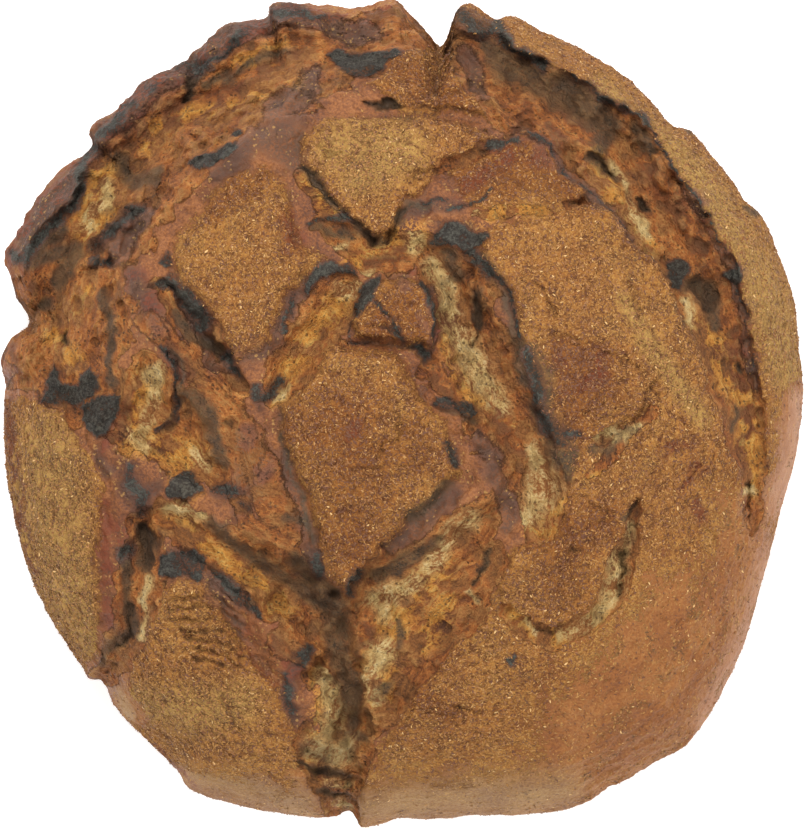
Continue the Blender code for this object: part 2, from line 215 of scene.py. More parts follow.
# Finer cracks and pits that only the surface has: points with half width and depth
FINE_CRACKS = {
    "cut in the top plate": ((322, 150, 0.6, 1.2), (330, 156, 0.9, 1.6), (344, 155, 0.6, 1.2)),
    "slot under the upper plate": ((366, 105, 0.7, 3), (384, 108, 1.1, 4), (401, 108, 0.6, 3)),
    "crease to the right of it": ((410, 104, 0.8, 1.2), (450, 112, 0.8, 1.2), (482, 116, 0.8, 1)),
    "centre plate crack": (
        (397, 414, 0.7, 1.2), (399, 436, 0.9, 1.4), (386, 446, 0.8, 1.2), (378, 460, 0.6, 0.8),
    ),
    "centre plate wrinkle": ((352, 469, 0.7, 0.9), (372, 469, 0.8, 1), (388, 466, 0.5, 0.6)),
    "flap slit": ((368, 326, 0.8, 1.2), (388, 326, 0.9, 1.6), (402, 338, 0.9, 1.6)),
    "flap fold": ((377, 300, 0.7, 1), (392, 320, 0.7, 1), (398, 332, 0.7, 1)),
    "right crack one": ((533, 283, 0.7, 1), (546, 302, 0.8, 1.3), (556, 318, 1.2, 1.6)),
    "right crack two": ((628, 282, 0.6, 0.9), (636, 302, 0.7, 1), (640, 318, 0.5, 0.8)),
    "right crack three": ((600, 352, 0.6, 0.9), (624, 364, 0.6, 0.9), (642, 378, 0.5, 0.8)),
    "small hook": ((688, 478, 0.6, 1), (690, 468, 0.6, 1), (698, 464, 0.5, 0.8)),
    "tear by the small plate": ((491, 546, 0.6, 1.2), (480, 572, 1.1, 2.5), (472, 588, 0.6, 1.2)),
    "top tear of the small plate": ((640, 494, 0.7, 1.5), (628, 512, 1.2, 2.5)),
    "fold under the small plate": ((528, 616, 0.7, 1.4), (540, 628, 0.9, 2), (552, 634, 0.7, 1.4)),
    "crescent hole": ((622, 552, 0.9, 4), (620, 568, 1.1, 4), (617, 576, 0.6, 2)),
    "lower crescent hole": ((616, 582, 1.1, 4), (613, 594, 1.1, 4)),
    "slit in the centre tear": ((476, 288, 1.2, 4), (478, 320, 1.3, 4), (474, 345, 0.8, 3)),
    "long pit of the right trough": ((590, 158, 1.4, 5), (602, 166, 2.0, 6), (612, 178, 1.2, 5)),
    "second pit of the right trough": ((640, 198, 0.9, 4), (646, 210, 1.2, 4)),
    "third pit of the right trough": ((690, 284, 2.4, 4), (704, 290, 3.4, 5), (711, 306, 2, 4)),
    "small pit of the right trough": ((741, 361, 1.2, 3), (740, 370, 1.3, 3)),
    "end pit of the right trough": ((743, 484, 1.1, 3), (747, 488, 1.1, 3)),
    "crack past the end pit": ((747, 495, 0.7, 1.2), (752, 530, 0.5, 0.9)),
    "pit in the left shelf": ((66, 336, 1.5, 4), (66, 344, 1.6, 4)),
    "left cavity": ((32, 306, 1.6, 2), (50, 306, 2, 3)),
    "wedge in the left lip": ((196, 64, 2.6, 7), (190, 84, 1.6, 7), (189, 106, 0.9, 5)),
    "hole in the left ridge": ((228, 422, 1.2, 2.4), (234, 424, 1.2, 2.4)),
    "strip in the left lens": (
        (172, 352, 0.8, 2), (180, 388, 0.9, 2.4), (174, 424, 1, 2.4), (160, 434, 0.8, 1.4),
    ),
    "deep pit of the lower left": ((146, 528, 2.6, 3), (152, 546, 3.4, 4), (148, 560, 1.8, 2.5)),
    "long pit of the lower left": ((132, 606, 1.2, 2.5), (132, 632, 1.4, 3), (118, 642, 1.2, 2.5)),
    "crack to the rim": ((98, 640, 0.8, 1.2), (106, 656, 1, 1.6), (104, 674, 0.8, 1)),
    "burnt rim of the oval flake": ((168, 494, 1, 1.4), (180, 504, 1, 1.4), (204, 492, 0.8, 1)),
    "hollow under the top plate": (
        (304, 168, 0.8, 2), (334, 198, 1.0, 2.4), (352, 224, 1.0, 3), (374, 244, 1.4, 4),
    ),
    "hollow right of the top plate": ((388, 242, 1.4, 4), (400, 218, 0.8, 2), (420, 206, 0.7, 1)),
    "hollow under the left plate": (
        (166, 284, 1, 2), (190, 306, 1.4, 3), (212, 338, 1.3, 3), (232, 362, 1.6, 4),
    ),
    "lower pocket": ((302, 758, 0.9, 2), (318, 772, 1.4, 3), (350, 777, 1.0, 2)),
    "lower pocket mouth": ((320, 788, 1.0, 1.5), (334, 796, 1.4, 2), (350, 794, 1.0, 1.5)),
    "lower right wrinkle": ((456, 704, 0.9, 1), (474, 710, 1.1, 1.4)),
    "lower right crease": ((706, 532, 0.8, 1), (716, 544, 0.6, 0.8)),
    "left rim seam": ((10, 386, 0.7, 1), (14, 430, 0.8, 1.4), (18, 480, 0.9, 1.6), (26, 536, 0.7, 1.2)),
    "second left rim seam": ((22, 400, 0.6, 0.8), (24, 440, 0.7, 1), (20, 500, 0.6, 0.8)),
    "right rim seam": ((680, 130, 1.3, 1.4), (690, 136, 1.3, 1.8), (700, 141, 1, 1.2)),
    "right rim groove": (
        (692, 150, 0.8, 1), (712, 170, 0.9, 1.4), (730, 192, 0.9, 1.4), (738, 202, 1, 1.2),
    ),
    "right rim dent": ((742, 205, 1.3, 1.4), (750, 212, 1.8, 2), (758, 217, 1.2, 1.2)),
    "right rim line": ((762, 232, 0.7, 1), (772, 250, 0.8, 1.2), (780, 268, 0.6, 0.8)),
    "lip skin line": ((584, 68, 0.8, 0.9), (600, 76, 1, 1.1), (612, 80, 0.7, 0.8)),
    "lip skin line two": ((554, 46, 0.6, 0.7), (566, 54, 0.7, 0.8)),
    "lower left cracks": ((224, 690, 0.6, 0.9), (228, 702, 0.7, 1), (234, 708, 0.5, 0.7)),
    "lower left cracks two": ((236, 716, 0.6, 0.8), (242, 728, 0.7, 1)),
    "lower left cracks three": ((128, 678, 0.7, 0.9), (136, 692, 0.6, 0.8)),
    "lower right split": ((404, 694, 1, 1.4), (420, 690, 1, 1.4), (408, 716, 0.8, 1)),
    "small plate fold": ((566, 548, 1.2, 1.6), (576, 546, 1.2, 1.4)),
    "small plate left": ((500, 590, 1.4, 1.6), (504, 602, 1.2, 1.4)),
    "small plate crack": ((566, 560, 0.6, 0.8), (572, 572, 0.6, 0.8)),
    "foot of the fold": ((586, 500, 0.8, 1.2), (600, 508, 0.9, 1.3), (612, 512, 0.6, 0.8)),
    "foot of the fold two": ((590, 520, 0.9, 1.2), (606, 516, 0.8, 1)),
    "upper plate lines": ((430, 94, 0.6, 0.8), (460, 98, 0.7, 0.9), (476, 92, 0.5, 0.6)),
}

# Burnt flakes that stand up from the crust: rise, then the corners
FLAKES = {
    "top flake": (1.6, (
        (328, 56), (336, 49), (352, 53), (372, 52), (392, 52), (408, 49), (402, 58), (388, 64),
        (374, 76), (362, 82), (350, 78), (336, 68),
    )),
    "flake by the left ridge": (1.2, (
        (188, 164), (198, 156), (214, 150), (226, 146), (240, 146), (236, 154), (226, 160),
        (214, 168), (200, 171),
    )),
    "spot above it": (0.8, ((231, 136), (238, 131), (243, 134), (240, 139), (234, 140))),
    "oval flake": (1.3, (
        (167, 492), (174, 480), (186, 470), (196, 471), (202, 482), (205, 488), (196, 496),
        (182, 501), (172, 500),
    )),
    "three cornered flake": (1.4, (
        (82, 408), (92, 402), (102, 397), (116, 393), (122, 396), (122, 408), (116, 422),
        (108, 436), (100, 440), (90, 428), (84, 418),
    )),
    "shelf edge": (1.2, (
        (40, 402), (48, 388), (50, 372), (57, 363), (62, 372), (64, 385), (80, 385), (86, 372),
        (92, 366), (100, 376), (104, 390), (92, 398), (80, 404), (60, 403),
    )),
    "knob": (2.0, (
        (427, 245), (436, 232), (446, 226), (458, 224), (468, 228), (474, 236), (486, 233),
        (491, 238), (480, 248), (466, 254), (452, 250), (440, 246),
    )),
    "blob": (1.6, (
        (431, 404), (436, 396), (450, 397), (460, 401), (472, 404), (479, 412), (471, 419),
        (454, 412), (438, 407),
    )),
    "curled lip": (1.8, (
        (301, 293), (308, 280), (318, 268), (330, 263), (342, 268), (350, 262), (356, 270),
        (361, 281), (346, 276), (330, 278), (318, 284), (310, 297),
    )),
    "flap left": (1.0, (
        (362, 288), (372, 280), (382, 278), (378, 288), (374, 300), (366, 308), (356, 318),
        (351, 313), (360, 300),
    )),
    "trough flake one": (1.6, (
        (665, 262), (676, 258), (686, 262), (688, 272), (680, 280), (678, 290), (670, 288), (666, 276),
    )),
    "trough flake two": (1.4, ((718, 278), (722, 270), (732, 268), (739, 274), (737, 289), (728, 286))),
    "dark oval": (0.8, ((164, 258), (170, 252), (176, 258), (174, 268), (168, 271), (163, 266))),
    "lower left crown": (0.8, (
        (160, 572), (163, 556), (176, 547), (196, 545), (208, 556), (208, 568), (202, 580),
        (186, 574), (170, 578),
    )),
}

# Flat burns, with some painted shade laid in burn colour: points with half width in pixels
BURNT = {
    "left lip tip": ((12, 254, 8), (22, 262, 8), (30, 250, 6)),
    "left lip": ((34, 248, 4), (52, 228, 4), (70, 206, 7), (80, 184, 8), (84, 166, 6), (96, 150, 6)),
    "upper left lip": ((100, 138, 6), (116, 126, 7), (124, 112, 6), (132, 104, 5)),
    "lip patches": ((146, 92, 2.5), (158, 86, 3)),
    "lip by the wedge": ((180, 68, 4), (192, 64, 8), (206, 62, 5), (224, 54, 3)),
    "top left lip": ((226, 50, 4), (238, 34, 7), (250, 28, 4)),
    "top lip": ((276, 12, 6), (290, 14, 6), (312, 16, 4), (326, 16, 2)),
    "rough grey one": ((98, 248, 7), (110, 234, 8), (132, 216, 9), (140, 212, 6)),
    "rough grey two": ((98, 262, 6), (110, 264, 5)),
    "under the left plate": ((158, 288, 4), (172, 286, 7), (190, 296, 7), (200, 312, 7), (206, 326, 8)),
    "left lens strip": ((166, 352, 4), (174, 366, 3), (180, 396, 2), (176, 420, 2), (160, 430, 2.5)),
    # Painted shade under the left plate's edge, in burn colour
    "notch by the plate": ((228, 358, 5), (236, 368, 5), (240, 378, 3)),
    "dark bran patch": ((256, 388, 5), (262, 404, 5), (280, 384, 6)),
    "grey saddle": ((134, 470, 4), (136, 482, 9), (146, 492, 7), (144, 508, 7)),
    "ridge spot": ((216, 488, 6), (228, 490, 8), (238, 488, 5)),
    "ridge spot two": ((252, 506, 5), (240, 502, 3)),
    "lower left shoulder": ((214, 566, 5), (236, 586, 6), (252, 604, 6), (260, 612, 3)),
    "lower left neck": ((124, 552, 5), (132, 548, 7)),
    "lower ridge grey": ((298, 652, 7), (308, 646, 5), (300, 664, 4)),
    "lower ridge dark": ((284, 670, 4), (290, 696, 5), (296, 712, 4)),
    "lip below the curl": ((296, 300, 3), (288, 316, 2.5), (282, 332, 2)),
    "flap top": ((420, 284, 3), (430, 296, 3), (434, 316, 2.5), (434, 340, 2.5)),
    "flap slit": ((352, 340, 1.5), (368, 346, 2)),
    "flap slit two": ((372, 326, 1.5), (392, 328, 2.2), (402, 340, 2.5)),
    "flap corner": ((353, 314, 2), (346, 324, 1.5), (352, 338, 1.5)),
    "flap crease": ((376, 302, 2), (388, 314, 2.5), (400, 336, 3)),
    # Painted shadow under the flap, in burn colour
    "flap shadow": ((414, 348, 2.5), (428, 356, 4)),
    "centre edge": ((446, 444, 4), (452, 452, 6), (458, 462, 4)),
    "right plate edge": (
        (468, 256, 6), (484, 268, 6), (498, 284, 4), (506, 294, 3), (514, 316, 2.5),
        (518, 338, 2.5),
    ),
    "small knob edge": ((552, 424, 3), (560, 432, 5), (576, 434, 4)),
    "centre foot": ((316, 552, 4), (318, 572, 6), (314, 560, 4)),
    "centre plate foot": ((356, 574, 5), (350, 590, 5), (362, 570, 4)),
    "fold spots": ((486, 146, 3), (504, 142, 5), (518, 142, 4)),
    "fold spots two": ((530, 138, 3.5), (546, 150, 2.5), (554, 164, 2), (566, 176, 2.5)),
    "fold spots three": ((580, 188, 2), (596, 202, 1.3), (620, 226, 1.2), (630, 240, 1.5)),
    "fold spots four": ((446, 212, 2.5), (458, 208, 4), (474, 204, 2.5), (492, 195, 2)),
    "fold spots five": ((418, 204, 1.6), (436, 202, 2), (446, 200, 1.4)),
    "right skin corner": ((458, 12, 10), (470, 22, 10), (488, 34, 7)),
    "right lip start": ((494, 28, 5), (500, 38, 6), (516, 50, 5), (534, 58, 5), (546, 66, 5)),
    "right lip": (
        (572, 78, 2), (590, 88, 4), (604, 98, 4), (624, 110, 4), (640, 118, 3.5), (650, 134, 1.6),
        (662, 150, 1.3), (672, 162, 1.3), (682, 178, 1.2), (694, 196, 1.2), (704, 212, 1.4),
        (716, 234, 1.2), (724, 252, 1.4), (732, 268, 3), (738, 286, 1.6), (743, 312, 1.0),
        (748, 338, 0.8), (752, 360, 0.8), (755, 390, 0.7),
    ),
    "speck": ((506, 658, 1.5), (512, 661, 3.5), (515, 655, 2)),
    "stain on the right plate": ((523, 350, 3), (530, 368, 7), (536, 388, 7), (536, 402, 5)),
    # Painted shade in the bay beside the right plate, in burn colour
    "black bay": ((540, 412, 6), (550, 428, 8), (560, 446, 5)),
    "red hook": ((310, 226, 2.5), (328, 222, 3), (346, 220, 5)),
}

# Painted shade in the hollows, under the lips and beside the plates: points with half width in pixels
SHADE_STROKES = {
    "under the right lip": (
        (484, 46, 8), (510, 68, 16), (545, 84, 18), (585, 106, 18), (610, 128, 12), (600, 150, 8),
    ),
    "right trough wall": ((634, 132, 8), (650, 150, 6)),
    "wedge": ((196, 66, 9), (190, 84, 6), (190, 104, 3)),
    "under the left lip": (
        (62, 226, 9), (44, 244, 10), (26, 264, 9), (80, 250, 7), (68, 270, 9), (56, 284, 5),
    ),
    "left cavity": ((38, 306, 4), (48, 306, 5)),
    "upper trough": ((230, 76, 7), (205, 82, 5)),
    "foot of the upper trough": ((118, 158, 7), (136, 184, 6), (150, 180, 6), (162, 170, 5)),
    "upper trough floor": ((290, 58, 3), (262, 60, 3), (240, 72, 4)),
    "hollow under the top plate": (
        (306, 172, 4), (324, 188, 6), (342, 214, 5), (356, 230, 4), (374, 242, 5), (384, 244, 4),
    ),
    "right of the top plate": ((396, 222, 4), (410, 208, 4), (430, 204, 3)),
    "under the hook": ((314, 230, 3), (334, 233, 4), (352, 238, 4)),
    "under the knob": ((448, 258, 8), (456, 274, 9), (444, 284, 3)),
    "under the right plate": ((482, 262, 9), (500, 286, 8), (510, 312, 6), (516, 345, 6), (524, 380, 8)),
    "beside the tear": ((478, 292, 6), (476, 310, 5), (478, 326, 4)),
    "stain on the right plate": ((524, 350, 6), (534, 370, 14), (542, 388, 12), (540, 404, 8)),
    "black bay": (
        (536, 404, 11), (546, 424, 14), (560, 444, 14), (556, 462, 10), (570, 452, 8),
        (566, 480, 5),
    ),
    "right bay": ((590, 450, 5), (606, 452, 6), (620, 430, 3), (640, 431, 2)),
    "under the centre plate": ((450, 484, 4), (432, 496, 6), (412, 514, 5)),
    "under arm": ((440, 538, 5), (420, 548, 6), (396, 564, 9), (376, 574, 6)),
    "lower tear": (
        (216, 520, 7), (240, 546, 7), (270, 566, 8), (296, 586, 8), (318, 596, 13), (334, 606, 14),
        (336, 630, 15), (342, 656, 11), (350, 680, 9), (352, 706, 9), (350, 722, 5),
    ),
    "upper left of it": ((300, 560, 10), (312, 580, 12), (330, 592, 10)),
    "left lens shade": ((190, 396, 8), (210, 414, 9), (220, 440, 7), (226, 466, 5)),
    "left lens crack": ((172, 352, 3), (182, 364, 3), (184, 384, 2.5), (178, 410, 2.5), (162, 430, 2)),
    "beside the shelf": ((104, 296, 6), (112, 318, 6), (112, 340, 4), (112, 384, 5), (112, 372, 8)),
    "black pit": ((144, 528, 7), (152, 546, 10), (146, 562, 8)),
    "lower left pits": ((128, 556, 5), (130, 606, 6), (134, 624, 8), (116, 642, 6), (104, 648, 4)),
    "crack to the rim": ((106, 652, 3), (102, 664, 3)),
    "under the left plate": ((180, 312, 5), (196, 334, 6), (220, 350, 4), (236, 370, 4)),
    "left of the centre plate": ((284, 432, 1.5), (288, 466, 1.5), (302, 500, 2), (312, 536, 3)),
    "shade beside it": ((300, 520, 5), (286, 516, 5)),
    "lower pocket": ((302, 758, 3), (318, 770, 5), (334, 772, 5), (348, 774, 3)),
    "bowl of the pocket": ((312, 744, 8), (332, 754, 10), (346, 744, 7)),
    "second pocket": ((318, 788, 3), (334, 796, 4), (350, 794, 2)),
    "bank notch": ((328, 676, 5), (336, 684, 4)),
    "second bank notch": ((346, 732, 6), (362, 736, 5)),
    "slope hollow": ((376, 692, 6), (388, 684, 6)),
    "slope pores": ((400, 618, 3), (403, 642, 3)),
    "tear by the small plate": ((490, 552, 3), (482, 568, 4), (474, 584, 3)),
    "crescent pits": ((622, 516, 3), (634, 504, 3)),
    "third pit": ((686, 284, 8), (700, 292, 11), (712, 306, 8), (716, 328, 4)),
    "first pit": ((592, 160, 6), (606, 168, 6), (614, 180, 4)),
    "second pit": ((641, 200, 3), (648, 210, 4)),
    "small pits": ((730, 410, 4), (731, 430, 3)),
    "pit in the wall": ((740, 360, 3), (740, 370, 3)),
    "end pit": ((744, 485, 3), (748, 488, 3)),
    "shelf pit": ((66, 336, 4), (66, 344, 4)),
    "slot": ((372, 106, 3), (384, 108, 3.5), (398, 107, 2.5)),
    "flap underside": ((410, 346, 3), (428, 356, 5)),
    "rim seams": ((684, 133, 2), (694, 136, 2)),
    "second seam": ((744, 206, 2.5), (754, 214, 3)),
    "left of the blob": ((440, 408, 3), (466, 418, 3), (476, 420, 3)),
}

# Purple-grey, glossy crust: points with half width in pixels
PURPLE = {
    "upper band": (
        (316, 72, 8), (300, 96, 16), (276, 112, 14), (290, 140, 18), (300, 168, 10), (262, 140, 12),
    ),
    "upper band foot": ((240, 160, 12), (214, 178, 8), (250, 150, 10)),
    "left lip": ((26, 240, 10), (46, 212, 14), (64, 186, 12), (84, 160, 8), (100, 144, 8)),
    "top lip": ((286, 14, 10), (376, 34, 10), (350, 38, 10), (300, 12, 8)),
    "top right corner": ((464, 18, 10), (476, 30, 10)),
    "top right slope": ((464, 54, 8), (474, 68, 10), (478, 86, 8), (486, 96, 5)),
    "folds": ((520, 134, 9), (540, 146, 9), (556, 168, 9), (578, 186, 7), (604, 210, 6), (628, 236, 5)),
    "right lip inside": (
        (684, 184, 8), (704, 212, 9), (716, 236, 8), (726, 256, 7), (741, 300, 7), (748, 340, 7),
        (754, 390, 4),
    ),
    "centre ridge": ((456, 494, 8), (430, 510, 9), (414, 528, 12), (390, 546, 7)),
    "arm": ((480, 432, 6), (490, 452, 9), (494, 474, 9), (504, 494, 8), (510, 514, 8), (508, 530, 6)),
    "left plate edge": ((310, 288, 7), (296, 300, 6), (284, 318, 6), (276, 340, 6)),
    "left of the centre plate": ((284, 450, 5), (292, 490, 9), (306, 524, 8), (314, 556, 7)),
    "left wall": ((112, 470, 6), (100, 452, 5)),
    "grey saddle": ((134, 484, 14), (146, 502, 10), (156, 486, 6)),
    "rough grey": ((110, 240, 12), (130, 224, 12), (120, 260, 10), (150, 214, 8)),
    "lower left crown": ((184, 562, 16), (216, 580, 9), (240, 596, 9)),
    "lower left band": ((214, 590, 8), (228, 608, 8), (240, 620, 5)),
    "lower ridge": ((300, 656, 9), (286, 690, 8), (296, 716, 8)),
    "under the left plate": ((190, 300, 8), (206, 326, 8), (216, 370, 6), (258, 352, 10), (276, 344, 8)),
    "left ridge": ((136, 276, 8), (150, 300, 10), (162, 330, 10)),
    "ridge": ((230, 492, 12), (258, 488, 10), (266, 460, 12), (250, 430, 10), (240, 510, 8)),
    "upper left lip": (
        (110, 126, 12), (134, 100, 12), (166, 78, 12), (200, 54, 14), (240, 30, 12), (290, 10, 14),
    ),
    "flap": ((430, 290, 6), (434, 320, 5), (434, 350, 4), (400, 282, 6)),
    "top plate right": ((400, 226, 5), (420, 208, 7), (456, 208, 8)),
}

# Rough sponge outside the troughs: points with half width in pixels
SPONGE = {
    "left ridge": (
        (150, 320, 12), (190, 360, 14), (206, 380, 12), (250, 440, 18), (266, 480, 18),
        (290, 530, 14),
    ),
    "left ridge foot": ((220, 410, 10), (236, 480, 12), (250, 520, 10), (300, 560, 10)),
    "centre foot": ((430, 372, 12), (448, 392, 8)),
    "centre top": ((400, 262, 12), (370, 262, 8), (346, 250, 8)),
    "upper slope": ((180, 190, 12), (150, 200, 8), (200, 176, 8)),
    "beside the top plate": ((302, 180, 7), (318, 200, 8), (334, 222, 6)),
    "right groove": ((650, 410, 6), (620, 440, 8), (590, 476, 5)),
    "lower ridge": ((300, 622, 10), (280, 640, 12), (310, 660, 8)),
    "right slope": ((500, 110, 12), (520, 124, 10), (560, 150, 10)),
    "fold ledge": ((474, 220, 4), (500, 215, 6), (530, 212, 5), (548, 214, 3)),
}

# Pale, grey-yellow crumb at the bottom of the tears: points with half width in pixels
CRUMB = {
    "centre tear top": (
        (432, 268, 9), (444, 288, 8), (452, 318, 10), (462, 342, 12), (474, 364, 13),
        (484, 384, 11), (500, 404, 9),
    ),
    "centre tear foot": ((532, 448, 5), (540, 468, 13), (540, 492, 16), (530, 512, 11), (520, 524, 6)),
    "under the arm": ((474, 514, 8), (452, 530, 8), (440, 546, 8), (428, 566, 9)),
    "open slope": ((412, 582, 10), (396, 590, 12), (374, 596, 9), (384, 612, 8)),
    "open slope two": ((378, 646, 8), (390, 652, 9), (374, 668, 9), (388, 640, 7)),
    "open slope three": ((376, 694, 6), (364, 680, 5)),
    "lower bank": ((322, 668, 4), (330, 690, 10), (336, 712, 10), (326, 726, 10)),
    "lower pocket": ((320, 744, 12), (336, 752, 14), (348, 738, 8)),
    "chip in the pocket": ((328, 781, 4), (348, 783, 4)),
    "pocket foot": ((338, 804, 5), (348, 810, 4)),
    "left lens": ((150, 378, 6), (160, 368, 5), (146, 440, 6), (150, 450, 5), (130, 430, 4)),
    "left lens two": ((198, 452, 4), (208, 462, 5)),
    "under the oval": ((170, 510, 5), (186, 510, 7), (206, 512, 6)),
    "lower left": ((150, 572, 3), (147, 600, 4), (150, 614, 3), (142, 636, 4)),
    "left bright": ((110, 184, 5), (108, 204, 5), (88, 216, 4), (92, 228, 5)),
    "right trough strip": ((612, 166, 3), (622, 184, 3.5), (628, 204, 5), (640, 222, 6), (648, 236, 4)),
    "right trough bowl": ((684, 300, 4), (692, 312, 5), (690, 322, 5)),
    "right trough end": ((738, 494, 4), (752, 490, 4)),
    "crescent": ((630, 522, 5), (618, 550, 8), (612, 580, 9), (602, 604, 7), (580, 624, 5), (560, 638, 3)),
    "crescent left": ((538, 630, 3), (524, 618, 3)),
    "right groove": ((596, 436, 5), (610, 432, 7), (624, 436, 8), (640, 424, 4), (604, 446, 4)),
    "right spur": ((562, 448, 4), (572, 446, 3)),
    "bright chips": ((468, 592, 3.4), (472, 600, 3)),
    "top chip": ((474, 216, 4), (480, 224, 5)),
    "golden mouth": ((342, 288, 5), (352, 296, 6), (372, 272, 4)),
    "left of the centre plate": ((276, 402, 4), (284, 394, 4), (292, 388, 2.5)),
    "under the top plate": ((406, 226, 6), (420, 238, 8), (412, 248, 6)),
    "by the left plate": ((346, 246, 3), (336, 250, 3)),
}

# Bright ochre and orange sponge: points with half width in pixels
GOLD = {
    "upper trough": ((262, 56, 10), (284, 50, 7), (240, 60, 7), (300, 84, 6)),
    "upper trough two": ((160, 130, 12), (146, 148, 9), (180, 118, 7), (270, 96, 6)),
    "left bright": ((104, 178, 16), (96, 204, 16), (90, 232, 14), (112, 206, 14)),
    "shelf": ((88, 290, 5), (70, 316, 8), (50, 336, 8), (76, 360, 9)),
    "beside the top plate": ((306, 184, 7), (324, 202, 8), (338, 220, 6)),
    "left lens": ((150, 384, 14), (140, 410, 14), (140, 444, 14), (196, 456, 16), (180, 508, 14)),
    "golden trough": ((350, 292, 9), (328, 318, 14), (308, 346, 14), (288, 376, 10), (276, 402, 8)),
    "below the top plate": ((400, 238, 14), (420, 236, 12), (350, 262, 8)),
    "centre tear": ((444, 330, 8), (456, 366, 8), (470, 396, 8), (494, 414, 8), (512, 424, 4)),
    "under arm": ((440, 570, 14), (410, 596, 16), (392, 622, 16), (380, 660, 18), (378, 700, 12)),
    "open slope": ((446, 600, 10), (438, 618, 12), (424, 642, 10)),
    "lower left ledge": ((180, 512, 10), (214, 548, 7), (250, 572, 9), (284, 606, 12), (276, 590, 10)),
    "lower bank": ((320, 700, 12), (330, 680, 8), (318, 668, 4), (314, 790, 5)),
    "right trough": ((596, 150, 8), (612, 210, 10), (636, 226, 8), (650, 250, 8)),
    "right trough low": (
        (694, 326, 12), (712, 346, 14), (724, 378, 12), (740, 398, 12), (750, 460, 10),
        (750, 488, 8),
    ),
    "crescent": ((598, 612, 10), (560, 638, 8), (530, 626, 10), (514, 612, 8)),
    "small plate top": ((532, 524, 6), (548, 528, 8), (520, 534, 4), (604, 472, 3), (584, 482, 3)),
    "fold ledge": ((478, 222, 8), (504, 214, 8), (540, 212, 7)),
}

# Red-brown, deeply baked places: points with half width in pixels
RED = {
    "left lip skin": (
        (14, 262, 16), (40, 212, 22), (74, 174, 20), (98, 140, 18), (136, 96, 22), (180, 64, 18),
    ),
    "upper left lip skin": ((180, 64, 18), (224, 36, 18), (290, 8, 22), (350, 12, 16), (404, 10, 12)),
    "left bump": ((290, 226, 10), (300, 244, 10), (288, 250, 6)),
    "right plate zone": ((560, 356, 14), (590, 362, 16), (566, 384, 12), (600, 376, 8)),
    "centre red": ((444, 304, 8), (456, 312, 5), (432, 348, 5), (436, 378, 10), (450, 390, 8)),
    "small red": ((400, 262, 12), (412, 268, 8), (372, 262, 5)),
    "arm top": ((490, 396, 4), (508, 436, 9), (520, 450, 8)),
    "right patch": ((672, 452, 14), (690, 468, 12), (684, 486, 8), (700, 520, 7)),
    "lower spots": ((362, 622, 8), (370, 634, 7), (364, 650, 7)),
    "right sponge": ((660, 190, 16), (688, 216, 14), (700, 246, 14), (706, 270, 10), (650, 160, 12)),
    "right sponge low": ((740, 400, 7), (744, 430, 9), (732, 330, 6), (742, 350, 6)),
    "lip wall": ((540, 160, 14), (560, 130, 10), (600, 140, 12), (520, 110, 12)),
    "lower left wall": ((120, 530, 16), (116, 580, 16), (114, 616, 14), (106, 500, 6)),
    "lower ridge": ((262, 630, 14), (280, 660, 12), (250, 650, 10), (272, 680, 7), (310, 664, 5)),
    "upper trough": ((230, 76, 10), (280, 30, 8), (320, 32, 12), (350, 22, 8), (130, 140, 12)),
    "left wall": ((60, 250, 12), (40, 274, 14), (24, 288, 10)),
    "left ridge": ((140, 284, 12), (152, 312, 14), (164, 340, 12), (190, 376, 8)),
    "left rim of the shelf": ((8, 352, 8), (12, 378, 8)),
    "left small": ((106, 450, 7), (108, 440, 5), (134, 400, 8), (142, 384, 5)),
    "left rim": ((10, 400, 6), (14, 450, 7), (22, 510, 7), (34, 570, 5)),
    "lower left chips": ((150, 745, 5), (176, 768, 6), (190, 785, 6)),
    "centre spot": ((356, 424, 8), (352, 434, 8)),
    "top folds": ((420, 212, 8), (444, 206, 6), (520, 148, 12), (490, 150, 6)),
}

# Smooth crust with little or no bran: points with half width in pixels
SMOOTH = {
    "lower rim": (
        (360, 812, 34), (430, 808, 40), (520, 800, 44), (600, 770, 50), (660, 720, 60),
        (700, 650, 64),
    ),
    "right rim": (
        (720, 610, 52), (745, 560, 40), (742, 510, 26), (790, 480, 20), (794, 430, 16),
        (800, 390, 10),
    ),
    "lower right": ((570, 730, 44), (620, 680, 50), (670, 610, 44)),
    "lower left rim": ((180, 775, 14), (215, 790, 22), (270, 802, 30), (310, 812, 28), (300, 772, 10)),
    "left rim": ((120, 700, 10), (140, 722, 10), (100, 660, 10)),
}

# Darker, redder bran: points with half width in pixels
TOASTED = {
    "centre plate": ((330, 420, 40), (360, 470, 50), (350, 540, 34)),
    "centre plate rim": ((300, 412, 16), (288, 430, 10), (430, 460, 18), (410, 430, 14)),
    "small plate": ((560, 580, 34), (550, 540, 22), (600, 520, 20)),
    "small flap": ((400, 300, 30), (380, 330, 20), (420, 330, 16)),
    "right plate foot": ((600, 390, 20), (570, 420, 24)),
    "upper plate": ((400, 80, 20), (440, 90, 30), (470, 116, 20)),
    "left plate top": ((236, 190, 24), (256, 178, 18), (214, 214, 12)),
    "lower right": ((410, 690, 10), (430, 700, 12), (450, 712, 10)),
    "folds": ((520, 170, 30), (560, 186, 18), (470, 180, 18)),
    "stain on the right plate": ((556, 356, 14), (590, 364, 20), (570, 390, 18), (552, 410, 12)),
}

# Yellower, paler bran: points with half width in pixels
STRAW = {
    "left plate": ((50, 440, 30), (50, 520, 40), (70, 600, 34), (90, 640, 16)),
    "top plate": ((340, 150, 24), (400, 150, 26), (360, 180, 20)),
    "right lip skin": ((600, 90, 14), (690, 170, 16), (730, 230, 20), (764, 300, 24), (786, 370, 20)),
    "right plate": ((640, 340, 8), (700, 420, 9), (620, 300, 8)),
    "lower left plate": ((140, 700, 16), (190, 710, 24), (240, 700, 20)),
}

